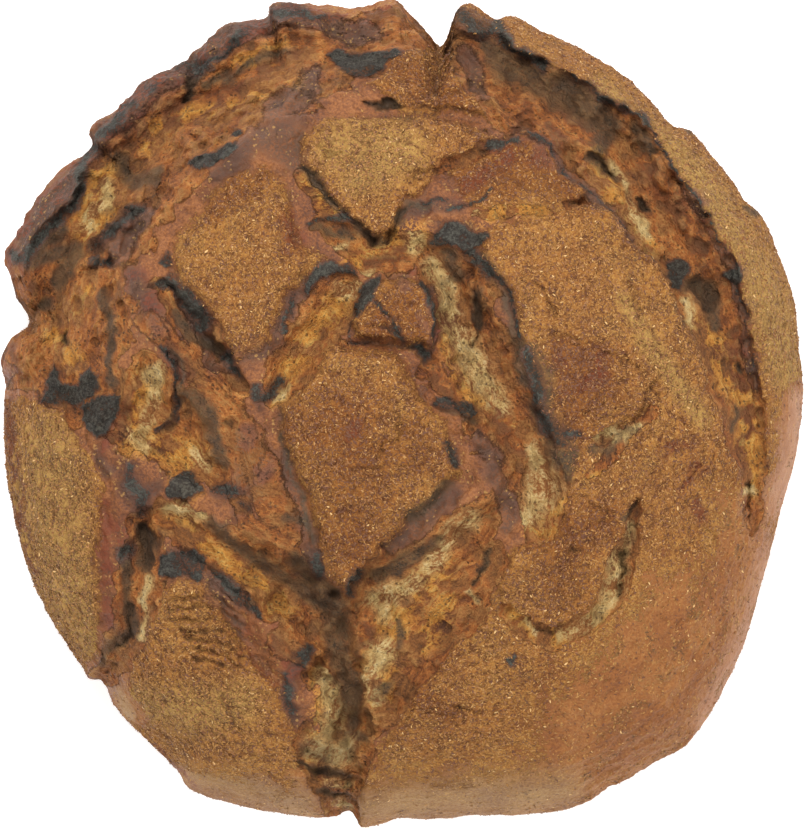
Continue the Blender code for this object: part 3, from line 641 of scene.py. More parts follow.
# Pink, thinly floured crust near the right and lower right rim: points with half width in pixels
PINK = {
    "right rim": (
        (796, 400, 9), (788, 450, 12), (772, 540, 11), (758, 600, 10), (732, 660, 8), (700, 722, 6),
    ),
    "ridge": ((430, 620, 10), (450, 600, 8), (420, 660, 7)),
}

# Pale, greyish crust along the bottom rim: points with half width in pixels
PALE_RIM = {
    "bottom": ((370, 804, 20), (430, 798, 24), (500, 794, 26), (560, 790, 20)),
    "bottom left": ((200, 774, 15), (250, 786, 20), (300, 802, 17), (160, 748, 9)),
    "left": ((118, 690, 7), (108, 668, 4), (130, 716, 6)),
}

# Ripples across the lower left plate
RIPPLES = {
    "left": 156, "right": 250, "top": 588, "bottom": 672, "slant": 0.45,
    "bend": 205, "arch": 0.012, "spacing": 10.5, "height": 0.8,
}


def linear(red, green, blue):
    """A colour of 0 to 255 numbers, as Blender's light values."""
    shares = [value / 255.0 for value in (red, green, blue)]
    return tuple(s / 12.92 if s <= 0.04045 else ((s + 0.055) / 1.055) ** 2.4 for s in shares)


def plan(points):
    """Places in the photograph's pixels as x and y in millimetres, further columns kept."""
    table = np.array(points, float)
    table[:, 0] = (table[:, 0] - CENTRE_PIXEL[0]) * MM_A_PIXEL
    table[:, 1] = (CENTRE_PIXEL[1] - table[:, 1]) * MM_A_PIXEL
    return table


def smooth_step(value):
    """0 below 0, 1 above 1, and an easy curve between."""
    value = np.clip(value, 0.0, 1.0)
    return value * value * (3.0 - 2.0 * value)


def hashed(cells, seed):
    """A number from 0 to 1 for each whole-number place, the same each run."""
    total = np.full(cells[0].shape, (seed * 2654435761) & 0xFFFFFFFF, np.uint32)
    for cell, prime in zip(cells, (0x9E3779B1, 0x85EBCA77, 0xC2B2AE3D)):
        total = total ^ (cell.astype(np.uint32) * np.uint32(prime))
        total = (total ^ (total >> np.uint32(15))) * np.uint32(0x2C1B3C6D)
        total = total ^ (total >> np.uint32(12))
    total = (total ^ (total >> np.uint32(15))) * np.uint32(0x297A2D39)
    return (total ^ (total >> np.uint32(15))) / 4294967296.0


def waves(points, size, seed):
    """Smooth random waves from -1 to 1, about size across."""
    place = points / size
    low = np.floor(place)
    part = place - low
    part = part ** 3 * (part * (part * 6.0 - 15.0) + 10.0)
    low = low.astype(np.int64)
    total = np.zeros(len(points))
    for corner in itertools.product((0, 1), repeat=3):
        weight = np.ones(len(points))
        for axis, side in enumerate(corner):
            weight *= part[:, axis] if side else 1.0 - part[:, axis]
        total += weight * hashed([low[:, axis] + corner[axis] for axis in range(3)], seed)
    return total * 2.0 - 1.0


def rough(points, size, seed, layers=3):
    """Waves of halving size and height laid over each other."""
    return sum(waves(points, size / 2 ** k, seed + 17 * k) / 2 ** k for k in range(layers)) / 1.5


def crags(points, size, seed, layers=4):
    """Sharp crests over round valleys, from about -1 to 1."""
    total = sum(
        (1.0 - np.abs(waves(points, size / 2 ** k, seed + 17 * k))) ** 2 / 2 ** k
        for k in range(layers)
    )
    return 2.4 * (total / (2.0 - 2.0 ** (1 - layers)) - 0.56)


def stirred(points, size, reach, seed):
    """The same places dragged about by slow waves, which makes a pattern on them look torn."""
    return points + reach * np.column_stack([waves(points, size, seed + k) for k in range(3)])


def bubbles(points, size, seed):
    """Distance to the nearest of many scattered bubble centres, in bubble sizes."""
    place = points / size
    low = np.floor(place).astype(np.int64)
    nearest = np.full(len(points), 9.0)
    for corner in itertools.product((-1, 0, 1), repeat=3):
        cells = [low[:, axis] + corner[axis] for axis in range(3)]
        gap = np.zeros(len(points))
        for axis in range(3):
            centre = cells[axis] + hashed(cells, seed + 31 * axis)
            gap += (place[:, axis] - centre) ** 2
        nearest = np.minimum(nearest, gap)
    return np.sqrt(nearest)


def rim_radius(angle):
    """Distance from the centre to the rim, as a smooth closed curve through OUTLINE."""
    angle = (angle + math.pi) % (2.0 * math.pi) - math.pi
    rim = plan(OUTLINE)
    angles = np.arctan2(rim[:, 1], rim[:, 0])
    order = np.argsort(angles)
    angles = angles[order]
    radii = np.hypot(rim[order, 0], rim[order, 1])
    count = len(radii)
    after = np.searchsorted(angles, angle)
    low, high = (after - 1) % count, after % count
    span = (angles[high] - angles[low]) % (2.0 * math.pi)
    part = ((angle - angles[low]) % (2.0 * math.pi)) / span
    before, beyond = (low - 1) % count, (high + 1) % count
    start, end = radii[low], radii[high]
    lean_start = (end - radii[before]) * span / ((angles[high] - angles[before]) % (2.0 * math.pi))
    lean_end = (radii[beyond] - start) * span / ((angles[beyond] - angles[low]) % (2.0 * math.pi))
    return (
        start * (1.0 + 2.0 * part) * (1.0 - part) ** 2
        + end * part ** 2 * (3.0 - 2.0 * part)
        + lean_start * part * (1.0 - part) ** 2
        - lean_end * part ** 2 * (1.0 - part)
    )


def outline_radius(angle, share, height):
    """The skin's radius. The rim's bumps and splits fade out inwards and towards the base."""
    exact = rim_radius(angle)
    calm = sum(rim_radius(angle + turn) for turn in BASE_SMOOTHING) / len(BASE_SMOOTHING)
    near_rim = smooth_step((share - 1.0 + RIM_REACH) / RIM_REACH)
    near_lip = 0.2 + 0.8 * smooth_step((np.cos(angle - LIP_ANGLE) - 0.72) / 0.12)
    ring = np.column_stack([np.cos(angle), np.sin(angle), height / WIDTH]) * WIDTH / 2.0
    exact = exact + RIM_JAG * near_lip * rough(ring, 5.0, 71, 4)
    return calm * share + (exact - calm) * near_rim * smooth_step(height / (0.9 * BELLY_HEIGHT))


def skin_profile():
    """The loaf's half section from the top down: share of the radius, and height."""
    share = np.sin(np.linspace(0.0, math.pi / 2.0, 400))
    dome = BELLY_HEIGHT + (DOME_HEIGHT - BELLY_HEIGHT) * np.sqrt(1.0 - share ** DOME_POWER)
    turn = np.linspace(0.0, math.pi / 2.0, 120)[1:]
    foot_share = BASE_SHARE + (1.0 - BASE_SHARE) * np.cos(turn)
    foot = BELLY_HEIGHT * (1.0 - np.sin(turn))
    base_share = np.linspace(BASE_SHARE, 0.0, 80)[1:]
    shares = np.concatenate([share, foot_share, base_share])
    heights = np.concatenate([dome, foot, np.zeros(len(base_share))])
    return shares, heights


def spread(polar):
    """Where a ball's points go on the profile: dense on the dome, sparser on side and base."""
    shares, heights = skin_profile()
    steps = np.hypot(np.diff(shares) * WIDTH / 2.0, np.diff(heights))
    middle = (shares[1:] + shares[:-1]) / 2.0
    upper = np.maximum(heights[1:], heights[:-1])
    density = np.where(upper <= 0.0, BASE_DENSITY, np.where(upper <= BELLY_HEIGHT, SIDE_DENSITY, 1.0))
    covered = np.concatenate([[0.0], np.cumsum(middle * steps * density)])
    place = np.interp((1.0 - np.cos(polar)) / 2.0, covered / covered[-1], np.arange(len(shares)))
    index = np.arange(len(shares))
    return np.interp(place, index, shares), np.interp(place, index, heights)


def distance_inside(x, y, corners):
    """Distance to a closed outline, positive inside it."""
    points = plan(corners)
    nearest = np.full(x.shape, np.inf)
    inside = np.zeros(x.shape, bool)
    for (ax, ay), (bx, by) in zip(points, np.roll(points, -1, axis=0)):
        dx, dy = bx - ax, by - ay
        along = np.clip(((x - ax) * dx + (y - ay) * dy) / (dx * dx + dy * dy), 0.0, 1.0)
        nearest = np.minimum(nearest, (x - ax - along * dx) ** 2 + (y - ay - along * dy) ** 2)
        crosses = (ay > y) != (by > y)
        rise = dy if dy != 0.0 else 1.0
        inside ^= crosses & (x < ax + (y - ay) * dx / rise)
    nearest = np.sqrt(nearest)
    return np.where(inside, nearest, -nearest)


def along_line(x, y, line):
    """Distance to a line, with its further columns at the nearest point."""
    points = plan(line)
    nearest = np.full(x.shape, np.inf)
    others = np.zeros((points.shape[1] - 2, len(x)))
    for start, end in zip(points[:-1], points[1:]):
        dx, dy = end[0] - start[0], end[1] - start[1]
        along = np.clip(((x - start[0]) * dx + (y - start[1]) * dy) / (dx * dx + dy * dy), 0.0, 1.0)
        distance = np.hypot(x - start[0] - along * dx, y - start[1] - along * dy)
        closer = distance < nearest
        nearest = np.where(closer, distance, nearest)
        for row, (low, high) in enumerate(zip(start[2:], end[2:])):
            others[row] = np.where(closer, low + along * (high - low), others[row])
    return (nearest, *others)


def with_way(line):
    """The line with one more column: how far along it each point lies, in millimetres."""
    table = np.array(line, float)
    steps = np.hypot(np.diff(table[:, 0]), np.diff(table[:, 1])) * MM_A_PIXEL
    return np.column_stack([table, np.concatenate([[0.0], np.cumsum(steps)])])


def marked(x, y, strokes, softness):
    """How much each place lies in any of the strokes, from 0 to 1."""
    share = np.zeros(x.shape)
    for line in strokes.values():
        distance, half_width = along_line(x, y, line)
        inside = 1.0 - distance / (half_width * MM_A_PIXEL)
        share = np.maximum(share, smooth_step(inside / softness + 0.5))
    return share


def ripples(x, y):
    """Arched ridges across the lower left plate, 1 on a crest and -1 in a valley."""
    across, down = x / MM_A_PIXEL + CENTRE_PIXEL[0], CENTRE_PIXEL[1] - y / MM_A_PIXEL
    left = RIPPLES["left"] + RIPPLES["slant"] * (down - RIPPLES["top"])
    from_side = np.minimum(across - left, RIPPLES["right"] - across)
    from_end = np.minimum(down - RIPPLES["top"], RIPPLES["bottom"] - down)
    inside = smooth_step(from_side / RIPPLES["spacing"]) * smooth_step(from_end / RIPPLES["spacing"])
    bent = down - RIPPLES["arch"] * np.maximum(across - RIPPLES["bend"], 0.0) ** 2
    return inside * np.sin(2.0 * math.pi * bent / RIPPLES["spacing"])


def plate_edge(x, y):
    """Distance to the edge of the nearest plate, positive on a plate."""
    return np.max([distance_inside(x, y, corners) for *_, corners in PLATES.values()], axis=0)


def unevenness(x, y):
    """Slow waves that keep the crust from looking turned on a wheel."""
    slow = ((0.047, 0.021, 0.4), (-0.030, 0.058, 1.9), (0.085, -0.066, 3.1), (0.110, 0.120, 5.2))
    return sum(np.sin(along * x + across * y + start) for along, across, start in slow) / 2.0


def carve(x, y, sizes):
    """The baked relief at each place.

    Gives the height above the smooth dome, the share of each kind of crust and crumb, the
    distance to the edge of the nearest plate, and how near an open trough it is.
    """
    flat = np.column_stack([x, y, np.zeros(len(x))])
    wander = sizes.raggedness
    wx = x + wander * (rough(flat, 7.0, 11) + 0.7 * rough(flat, 2.4, 13, 2))
    wy = y + wander * (rough(flat, 7.0, 12) + 0.7 * rough(flat, 2.4, 14, 2))
    trough = np.zeros(x.shape)
    torn = np.zeros(x.shape)
    wall = 0.5 * rough(flat, 4.0, 16)
    nearest = np.full(x.shape, np.inf)
    beside = np.zeros(x.shape)
    way = np.zeros(x.shape)
    for line in TROUGHS.values():
        distance, half_width, depth, along = along_line(wx, wy, with_way(line))
        ratio = np.maximum(distance / half_width + wall, 0.0)
        closer = distance / half_width < nearest
        nearest = np.where(closer, distance / half_width, nearest)
        beside = np.where(closer, distance, beside)
        way = np.where(closer, along, way)
        trough = np.maximum(trough, depth * np.exp(-0.9 * ratio ** 2.4))
        torn = np.maximum(torn, smooth_step((TORN_REACH - ratio) / 0.6))
    trough = trough * (0.85 + 0.35 * rough(flat, 9.0, 15))
    height = -trough
    bran = np.zeros(x.shape)
    plate = np.zeros(x.shape)
    edge = np.full(x.shape, -1e3)
    untorn = 1.0 - smooth_step(trough / 5.0)
    for rise, cover, fade, corners in PLATES.values():
        distance = distance_inside(wx, wy, corners) - sizes.overhang * 0.5
        blend = fade * untorn
        share = smooth_step(distance / (PLATE_SOFTNESS + blend) + 0.5)
        height = height + (rise - height) * share
        bran = bran + (cover - bran) * smooth_step((distance + 1.6 + 0.5 * blend) / (2.4 + blend))
        plate = np.maximum(plate, share)
        edge = np.maximum(edge, distance)
    purple = marked(wx, wy, PURPLE, 1.3)
    sponge = marked(wx, wy, SPONGE, 1.0)
    torn = torn * (1.0 - 0.8 * purple) * (1.0 - smooth_step((plate - 0.55) / 0.35))
    torn = np.maximum(torn, sponge)
    for line in CRACKS.values():
        distance, half_width, depth = along_line(wx, wy, line)
        height = height - depth * (1.0 - smooth_step(distance / (half_width * CRACK_REACH)))
        split = smooth_step((1.15 - distance / half_width) / 0.3) * (depth > 2.9)
        torn = np.maximum(torn, split)
    # Painted shade at the bottom of the fine cracks, stronger in the deeper ones
    hole = np.zeros(x.shape)
    for line in FINE_CRACKS.values():
        distance, half_width, depth = along_line(wx, wy, line)
        share = 1.0 - smooth_step(distance / (half_width * CRACK_REACH))
        height = height - depth * share
        hole = np.maximum(hole, share * np.minimum(depth / 3.0, 1.0))
    burnt = 0.9 * marked(wx, wy, BURNT, 1.7)
    chipped = 0.6 * rough(flat, 2.2, 18, 3)
    for rise, corners in FLAKES.values():
        distance = distance_inside(x + 0.4 * (wx - x), y + 0.4 * (wy - y), corners) + chipped
        burnt = np.maximum(burnt, smooth_step(distance / 1.2 + 0.5))
        sunken = 1.0 - 0.12 * np.clip(distance, 0.0, 4.0)
        height = height + rise * smooth_step(distance / 0.9 + 0.5) * sunken
    ripple = ripples(wx, wy)
    # Painted shade in the valleys of the ripples, added to the crack shade
    hole = np.maximum(hole, 0.7 * smooth_step((-0.3 - ripple) / 0.5))
    height = height + RIPPLES["height"] * ripple + unevenness(x, y)
    near_trough = smooth_step(trough / 8.0)
    lip = np.exp(-(((edge - 0.1) / 0.8) ** 2)) * near_trough
    height = height + sizes.curl * np.exp(-(((edge - 1.3) / 1.2) ** 2)) * near_trough
    patchy = smooth_step((rough(flat, 6.0, 21) + 0.35) / 0.5)
    toasted_rim = 0.75 * np.exp(-(((edge - 0.8) / 1.6) ** 2))
    toasted_rim = toasted_rim * smooth_step((rough(flat, 8.0, 22) + 0.2) / 0.6)
    bran = bran * (1.0 - torn)
    smooth = marked(wx, wy, SMOOTH, 2.4)
    sprinkled = bran * (1.0 - 0.7 * smooth) * (1.0 - hole) * (1.0 - burnt)
    bran = bran * (1.0 - smooth)
    shares = {
        "bran": bran,
        "torn": torn,
        "burnt": np.maximum(burnt, 0.5 * lip * patchy),
        "crumb": marked(wx, wy, CRUMB, 1.5),
        "gold": marked(wx, wy, GOLD, 1.5),
        "red": marked(wx, wy, RED, 1.5),
        "purple": purple,
        # Painted shade along the shade strokes, kept in the share named deep
        "deep": marked(wx, wy, SHADE_STROKES, 1.1),
        "hole": hole,
        "toasted": np.maximum(marked(wx, wy, TOASTED, 1.6), toasted_rim * bran),
        "straw": marked(x, y, STRAW, 1.6),
        "pink": marked(x, y, PINK, 3.0),
        "pale_rim": marked(x, y, PALE_RIM, 2.2),
        "skin": plate,
        "sprinkled": sprinkled,
        "beside": beside,
        "way": way,
    }
    return height, shares, edge, near_trough


def crust_surface(directions, sizes):
    """Points of a unit ball moved to the baked surface, with each place's make-up."""
    angle = np.arctan2(directions[:, 1], directions[:, 0])
    polar = np.arccos(np.clip(directions[:, 2], -1.0, 1.0))
    share, skin_height = spread(polar)
    height = skin_height
    radius = outline_radius(angle, share, height)
    x, y = radius * np.cos(angle), radius * np.sin(angle)
    relief, shares, edge, near_trough = carve(x, y, sizes)
    on_dome = smooth_step((height - BELLY_HEIGHT * 0.5) / (BELLY_HEIGHT * 0.8))
    on_side = smooth_step((share - 0.90) / 0.10) * smooth_step(height / (BELLY_HEIGHT * 0.6))
    lean_x = (plate_edge(x + LEAN_STEP, y) - plate_edge(x - LEAN_STEP, y)) / (2.0 * LEAN_STEP)
    lean_y = (plate_edge(x, y + LEAN_STEP) - plate_edge(x, y - LEAN_STEP)) / (2.0 * LEAN_STEP)
    pushed = smooth_step((edge + PLATE_SOFTNESS / 2.0) / PLATE_SOFTNESS)
    pushed = pushed * (1.0 - smooth_step((edge - 1.0) / 6.0)) * near_trough * on_dome * (1.0 - on_side)
    height = height + relief * on_dome * (1.0 - 0.75 * on_side)
    outward = 0.35 * np.clip(relief, -DEEPEST_NOTCH, 0.0) * on_side * on_dome
    outward += 0.2 * on_side * unevenness(1.7 * y, 1.7 * x)
    x = x + outward * np.cos(angle) - sizes.overhang * pushed * lean_x
    y = y + outward * np.sin(angle) - sizes.overhang * pushed * lean_y
    points = np.column_stack([x, y, height])
    above_foot = skin_height - CHAR_FOOT - 4.0 * rough(points, 6.0, 43)
    shares["burnt"] *= smooth_step(above_foot / 5.0)
    below = 1.0 - on_dome
    for name in (
        "bran", "torn", "burnt", "crumb", "gold", "red", "purple", "deep", "hole", "sprinkled",
    ):
        shares[name] = shares[name] * on_dome
    flour = smooth_step((rough(points, 26.0, 41) + 0.15) / 0.7)
    shares["bran"] = np.maximum(shares["bran"], below * 0.75 * flour)
    shares["sprinkled"] = np.maximum(shares["sprinkled"], below * 0.75 * flour)
    shares["skin"] = np.maximum(shares["skin"], below)
    shares["base"] = 1.0 - smooth_step(height / 5.0)
    shares["dome"] = on_dome
    return points, shares


def baked_relief(points, shares, outward):
    """Moves each point along the outward direction by what its crust or crumb is like."""
    torn = shares["torn"] * (1.0 - shares["burnt"])
    rim = smooth_step(shares["pink"] + shares["pale_rim"] + 1.0 - shares["dome"])
    grain = waves(points, 1.1, 54)
    soft = rough(points, 9.0, 55)
    crest = crags(stirred(points, 6.0, 2.4, 61), 5.0, 53)
    pits = smooth_step(bubbles(points, 2.6, 51) / 0.6) - 1.0
    calm = 1.0 - 0.6 * np.max([shares["crumb"], shares["deep"], shares["red"]], axis=0)
    drawn_out = np.column_stack([shares["beside"], 0.2 * shares["way"], shares["torn"]])
    strands = crags(drawn_out, 2.4, 91, 2)
    swell = 0.8 * rough(points, 9.0, 57, 2)
    move = torn * (calm * (0.65 * crest + 0.4 * pits) + swell + 0.35 * strands)
    clumps = crags(stirred(points, 3.0, 0.8, 67), 2.3, 69, 3)
    lumps = 0.35 * rough(points, 3.6, 56) + 0.30 * rough(points, 12.0, 59)
    move += shares["bran"] * (0.15 * grain - 0.42 * clumps + lumps)
    bare = (1.0 - torn) * (1.0 - shares["bran"])
    move += bare * (1.0 - 0.8 * rim) * (0.7 * crest + 0.15 * grain)
    move += shares["burnt"] * 0.3 * rough(points, 1.8, 58, 2)
    move += 0.5 * soft * (1.0 - 0.5 * shares["skin"])
    shares["crest"] = np.clip(0.5 + 0.5 * crest, 0.0, 1.0)
    shares["crease"] = np.clip(0.5 + 0.5 * clumps, 0.0, 1.0)
    shares["drift"] = np.clip(0.5 + rough(points, 13.0, 81, 4), 0.0, 1.0)
    shares["patch"] = np.clip(0.5 + rough(points, 4.5, 83, 4), 0.0, 1.0)
    return points + outward * (move * (1.0 - shares["base"]))[:, None]


def hollowness(points, faces, outward, rounds):
    """How far each point lies below its surroundings, in millimetres."""
    count = len(points)
    ends = np.concatenate([faces[:, [0, 1]], faces[:, [1, 2]], faces[:, [2, 0]]])
    neighbours = np.bincount(ends[:, 0], minlength=count)
    smoothed = points
    for _ in range(rounds):
        total = np.column_stack([
            np.bincount(ends[:, 0], smoothed[ends[:, 1], axis], count) for axis in range(3)
        ])
        smoothed = 0.5 * smoothed + 0.5 * total / neighbours[:, None]
    return np.einsum("ij,ij->i", smoothed - points, outward)


def outward_directions(points, faces):
    """The surface's own directions at each point, from its triangles."""
    corners = points[faces]
    normals = np.cross(corners[:, 1] - corners[:, 0], corners[:, 2] - corners[:, 0])
    total = np.zeros_like(points)
    for side in range(3):
        for axis in range(3):
            total[:, axis] += np.bincount(faces[:, side], normals[:, axis], len(points))
    length = np.linalg.norm(total, axis=1, keepdims=True)
    return total / np.maximum(length, 1e-9)


class Value:
    """A number that varies over a surface. Sums and products of it add Math nodes."""

    def __init__(self, finish, socket):
        self.finish = finish
        self.socket = socket

    def combined(self, operation, first, second):
        made = self.finish.node("ShaderNodeMath", {"operation": operation}, {0: first, 1: second})
        return Value(self.finish, made.outputs[0])

    def __add__(self, other):
        return self.combined("ADD", self, other)

    def __radd__(self, other):
        return self.combined("ADD", other, self)

    def __sub__(self, other):
        return self.combined("SUBTRACT", self, other)

    def __rsub__(self, other):
        return self.combined("SUBTRACT", other, self)

    def __mul__(self, other):
        return self.combined("MULTIPLY", self, other)

    def __rmul__(self, other):
        return self.combined("MULTIPLY", other, self)

    def clipped(self, low, high):
        made = self.finish.node("ShaderNodeClamp", None, {"Value": self, "Min": low, "Max": high})
        return Value(self.finish, made.outputs["Result"])

    def step(self, start, end):
        """0 before start, 1 past end, and an easy curve between. Start may lie above end."""
        made = self.finish.node(
            "ShaderNodeMapRange",
            {"interpolation_type": "SMOOTHSTEP"},
            {"Value": self, "From Min": start, "From Max": end},
        )
        return Value(self.finish, made.outputs["Result"])


class Finish:
    """A procedural material while it is being made."""

    def __init__(self, name):
        self.material = bpy.data.materials.new(name)
        self.material.use_nodes = True
        self.tree = self.material.node_tree
        self.shader = self.tree.nodes["Principled BSDF"]
        self.place = self.node("ShaderNodeTexCoord").outputs["Object"]

    def node(self, kind, settings=None, inputs=None):
        """A node of any kind, with its settings made first and then its sockets filled."""
        made = self.tree.nodes.new(kind)
        for name, value in (settings or {}).items():
            setattr(made, name, value)
        for name, value in (inputs or {}).items():
            self.fill(made.inputs[name], value)
        return made

    def fill(self, socket, value):
        if isinstance(value, Value):
            value = value.socket
        if isinstance(value, bpy.types.NodeSocket):
            self.tree.links.new(value, socket)
        elif socket.type == "RGBA" and len(value) == 3:
            socket.default_value = (*value, 1.0)
        else:
            socket.default_value = value

    def painted(self, name):
        """A share that the mesh holds at each point."""
        made = self.node("ShaderNodeAttribute", {"attribute_name": name})
        return Value(self, made.outputs["Fac"])

    def noise(self, size_mm, detail, roughness):
        made = self.node("ShaderNodeTexNoise", None, {
            "Vector": self.place, "Scale": 1.0 / (size_mm * MILLIMETRE),
            "Detail": detail, "Roughness": roughness,
        })
        return Value(self, made.outputs["Fac"])

    def cells(self, size_mm, place):
        """Cell pattern: distance from each cell's centre, and one random number a cell."""
        made = self.node("ShaderNodeTexVoronoi", None, {
            "Vector": place, "Scale": 1.0 / (size_mm * MILLIMETRE),
        })
        random = self.node("ShaderNodeSeparateColor", None, {"Color": made.outputs["Color"]})
        return Value(self, made.outputs["Distance"]), Value(self, random.outputs["Red"])

    def strands(self, size_mm):
        """Noise drawn out along the tears, by how far along and beside its tear each point is."""
        place = self.node("ShaderNodeCombineXYZ", None, {
            "X": self.painted("beside"), "Y": self.painted("way") * 0.16, "Z": self.painted("patch"),
        })
        made = self.node("ShaderNodeTexNoise", None, {
            "Vector": place.outputs["Vector"], "Scale": 1.0 / size_mm,
            "Detail": 3.0, "Roughness": 0.6,
        })
        return Value(self, made.outputs["Fac"])

    def wavering(self, size_mm, reach_mm):
        """The place on the surface, shaken by noise so that cells lose their round edges."""
        shaken = self.node("ShaderNodeTexNoise", None, {
            "Vector": self.place, "Scale": 1.0 / (size_mm * MILLIMETRE), "Detail": 2.0,
        })
        centred = self.node("ShaderNodeVectorMath", {"operation": "SUBTRACT"}, {
            0: shaken.outputs["Color"], 1: (0.5, 0.5, 0.5),
        })
        reach = 2.0 * reach_mm * MILLIMETRE
        scaled = self.node("ShaderNodeVectorMath", {"operation": "MULTIPLY"}, {
            0: centred.outputs["Vector"], 1: (reach, reach, reach),
        })
        made = self.node("ShaderNodeVectorMath", {"operation": "ADD"}, {
            0: self.place, 1: scaled.outputs["Vector"],
        })
        return made.outputs["Vector"]

    def mix(self, share, first, second, blend="MIX"):
        made = self.node("ShaderNodeMix", {
            "data_type": "RGBA", "blend_type": blend, "clamp_factor": True,
        })
        colours = [socket for socket in made.inputs if socket.type == "RGBA"]
        self.fill(made.inputs["Factor"], share)
        self.fill(colours[0], first)
        self.fill(colours[1], second)
        return next(socket for socket in made.outputs if socket.type == "RGBA")

    def shades(self, share, *colours):
        """Steps evenly through colours as share goes from 0 to 1."""
        made = self.node("ShaderNodeValToRGB", None, {"Fac": share})
        ramp = made.color_ramp
        for k, colour in enumerate(colours):
            at = k / (len(colours) - 1)
            stop = ramp.elements[k] if k < 2 else ramp.elements.new(at)
            stop.position = at
            stop.color = (*colour, 1.0)
        return made.outputs["Color"]

    def bumped(self, height):
        made = self.node("ShaderNodeBump", None, {
            "Height": height, "Strength": 1.0, "Distance": 1.0,
        })
        self.fill(self.shader.inputs["Normal"], made.outputs["Normal"])

    def finished(self, colour, roughness):
        self.fill(self.shader.inputs["Base Color"], colour)
        self.fill(self.shader.inputs["Roughness"], roughness)
        return self.material


def bran_colour(finish, colours, grains, patch):
    """Coarse bran: one shade a grain, with painted shade in the gaps and creases, toasted or straw-coloured
    by place.
    """
    (gap, shade), (fine_gap, fine_shade) = grains
    drift = finish.painted("drift").step(0.2, 0.8)
    tone = shade * 0.36 + fine_shade * 0.30 + drift * 0.16 + patch * 0.18
    bran = finish.shades(tone, colours.bran_dark, colours.bran, colours.bran_gold, colours.bran_light)
    bran = finish.mix(finish.painted("straw") * 0.6, bran, colours.straw)
    thick = finish.painted("bran").step(0.45, 0.95)
    # Painted shade in the gaps between grains and in the creases of the clumps
    gaps = gap.step(0.36, 0.75) * 0.5 + fine_gap.step(0.4, 0.8) * 0.35
    bran = finish.mix(gaps * patch.step(0.1, 0.6) * thick, bran, colours.bran_shade)
    bran = finish.mix(finish.painted("crease").step(0.42, 0.90) * thick * 0.85, bran, colours.bran_shade)
    bran = finish.mix(finish.painted("toasted") * 0.7, bran, colours.toasted, "MULTIPLY")
    bran = finish.mix(finish.painted("red") * patch.step(0.2, 0.6) * 0.75, bran, colours.red)
    return finish.mix(finish.painted("purple") * patch.step(0.35, 0.6) * 0.6, bran, colours.purple)


def torn_colour(finish, colours, patch, grain, pores):
    """Torn sponge: ochre and orange where it baked, pale crumb at the bottom, painted shade in the pores.
    """
    crest, drift = finish.painted("crest"), finish.painted("drift")
    # Tone follows the relief's crests here, for the gold and the crumb too: lighter on crests, darker in
    # valleys, partly the sponge's own colour and partly painted light and shade
    tone = drift.step(0.2, 0.8) * 0.2 + crest * 0.25 + grain * 0.55
    sponge = finish.shades(tone, colours.torn_dark, colours.torn, colours.torn_light)
    gold = finish.shades(crest * 0.4 + grain * 0.6, colours.gold_dark, colours.gold, colours.gold_light)
    brightness = finish.painted("gold") * (patch + grain * 0.4).step(0.42, 0.75)
    sponge = finish.mix(brightness * 0.9, sponge, gold)
    redness = finish.painted("red") * (patch - grain * 0.4).step(0.55, 0.1)
    sponge = finish.mix(redness * 0.8, sponge, colours.red)
    glaze = finish.painted("purple") * (patch + grain).step(0.5, 1.2)
    sponge = finish.mix(glaze * 0.8, sponge, colours.purple)
    sponge = finish.mix((grain * 0.4 - patch).step(-0.45, 0.0) * 0.45, sponge, colours.olive)
    crumb_tone = crest * 0.55 + grain * 0.45
    crumb = finish.shades(crumb_tone, colours.crumb_dark, colours.crumb, colours.crumb_light)
    sponge = finish.mix(finish.painted("crumb") * (patch + grain * 0.5).step(0.15, 0.9), sponge, crumb)
    # Painted shade in the pores
    return finish.mix(pores * patch.step(0.25, 0.75) * 0.65, sponge, colours.pit)


def bare_colour(finish, colours, patch, grain, specks):
    """Glossy crust without bran: red-brown and orange, purple-grey in places, with stray bran."""
    crest, drift = finish.painted("crest"), finish.painted("drift")
    # Tone follows the relief's crests: lighter on crests, darker in valleys, partly the crust's own colour
    # and partly painted light and shade
    tone = drift.step(0.2, 0.8) * 0.25 + crest * 0.3 + grain * 0.45
    crust = finish.shades(tone, colours.bare_dark, colours.bare, colours.bare_light)
    redness = finish.painted("red") * (patch - grain * 0.5).step(0.5, 0.05)
    crust = finish.mix(redness * 0.8, crust, colours.red)
    brightness = finish.painted("gold") * (patch + grain * 0.5).step(0.6, 0.9)
    crust = finish.mix(brightness * 0.7, crust, colours.gold)
    glaze = finish.painted("purple") * (patch * 0.6 + grain).step(0.0, 1.0)
    crust = finish.mix(glaze * 0.8, crust, colours.dusky)
    return finish.mix(specks * patch.step(0.5, 0.7) * 0.5, crust, colours.bran_light)


def skin_colour(finish, colours, patch, grain, specks):
    """Smooth lower crust: orange-brown, freckled, pink at the right and pale at the bottom."""
    drift = finish.painted("drift")
    tone = drift.step(0.1, 0.9) * 0.3 + patch * 0.2 + grain * 0.5
    skin = finish.shades(tone, colours.skin_dark, colours.skin, colours.skin_light)
    pale = finish.shades(tone, colours.pale_dark, colours.pale_rim, colours.pale_light)
    skin = finish.mix(finish.painted("pink") * (0.45 + patch * 0.5), skin, colours.pink)
    skin = finish.mix(finish.painted("pale_rim") * 0.85, skin, pale)
    redness = finish.painted("red") * (patch + grain * 0.5).step(1.0, 0.3)
    skin = finish.mix(redness * 0.8, skin, colours.red)
    glaze = finish.painted("purple") * (patch * 0.6 + grain).step(0.1, 0.9)
    skin = finish.mix(glaze * 0.95, skin, colours.dusky)
    return finish.mix(specks * patch.step(0.5, 0.7) * 0.5, skin, colours.bran_light)


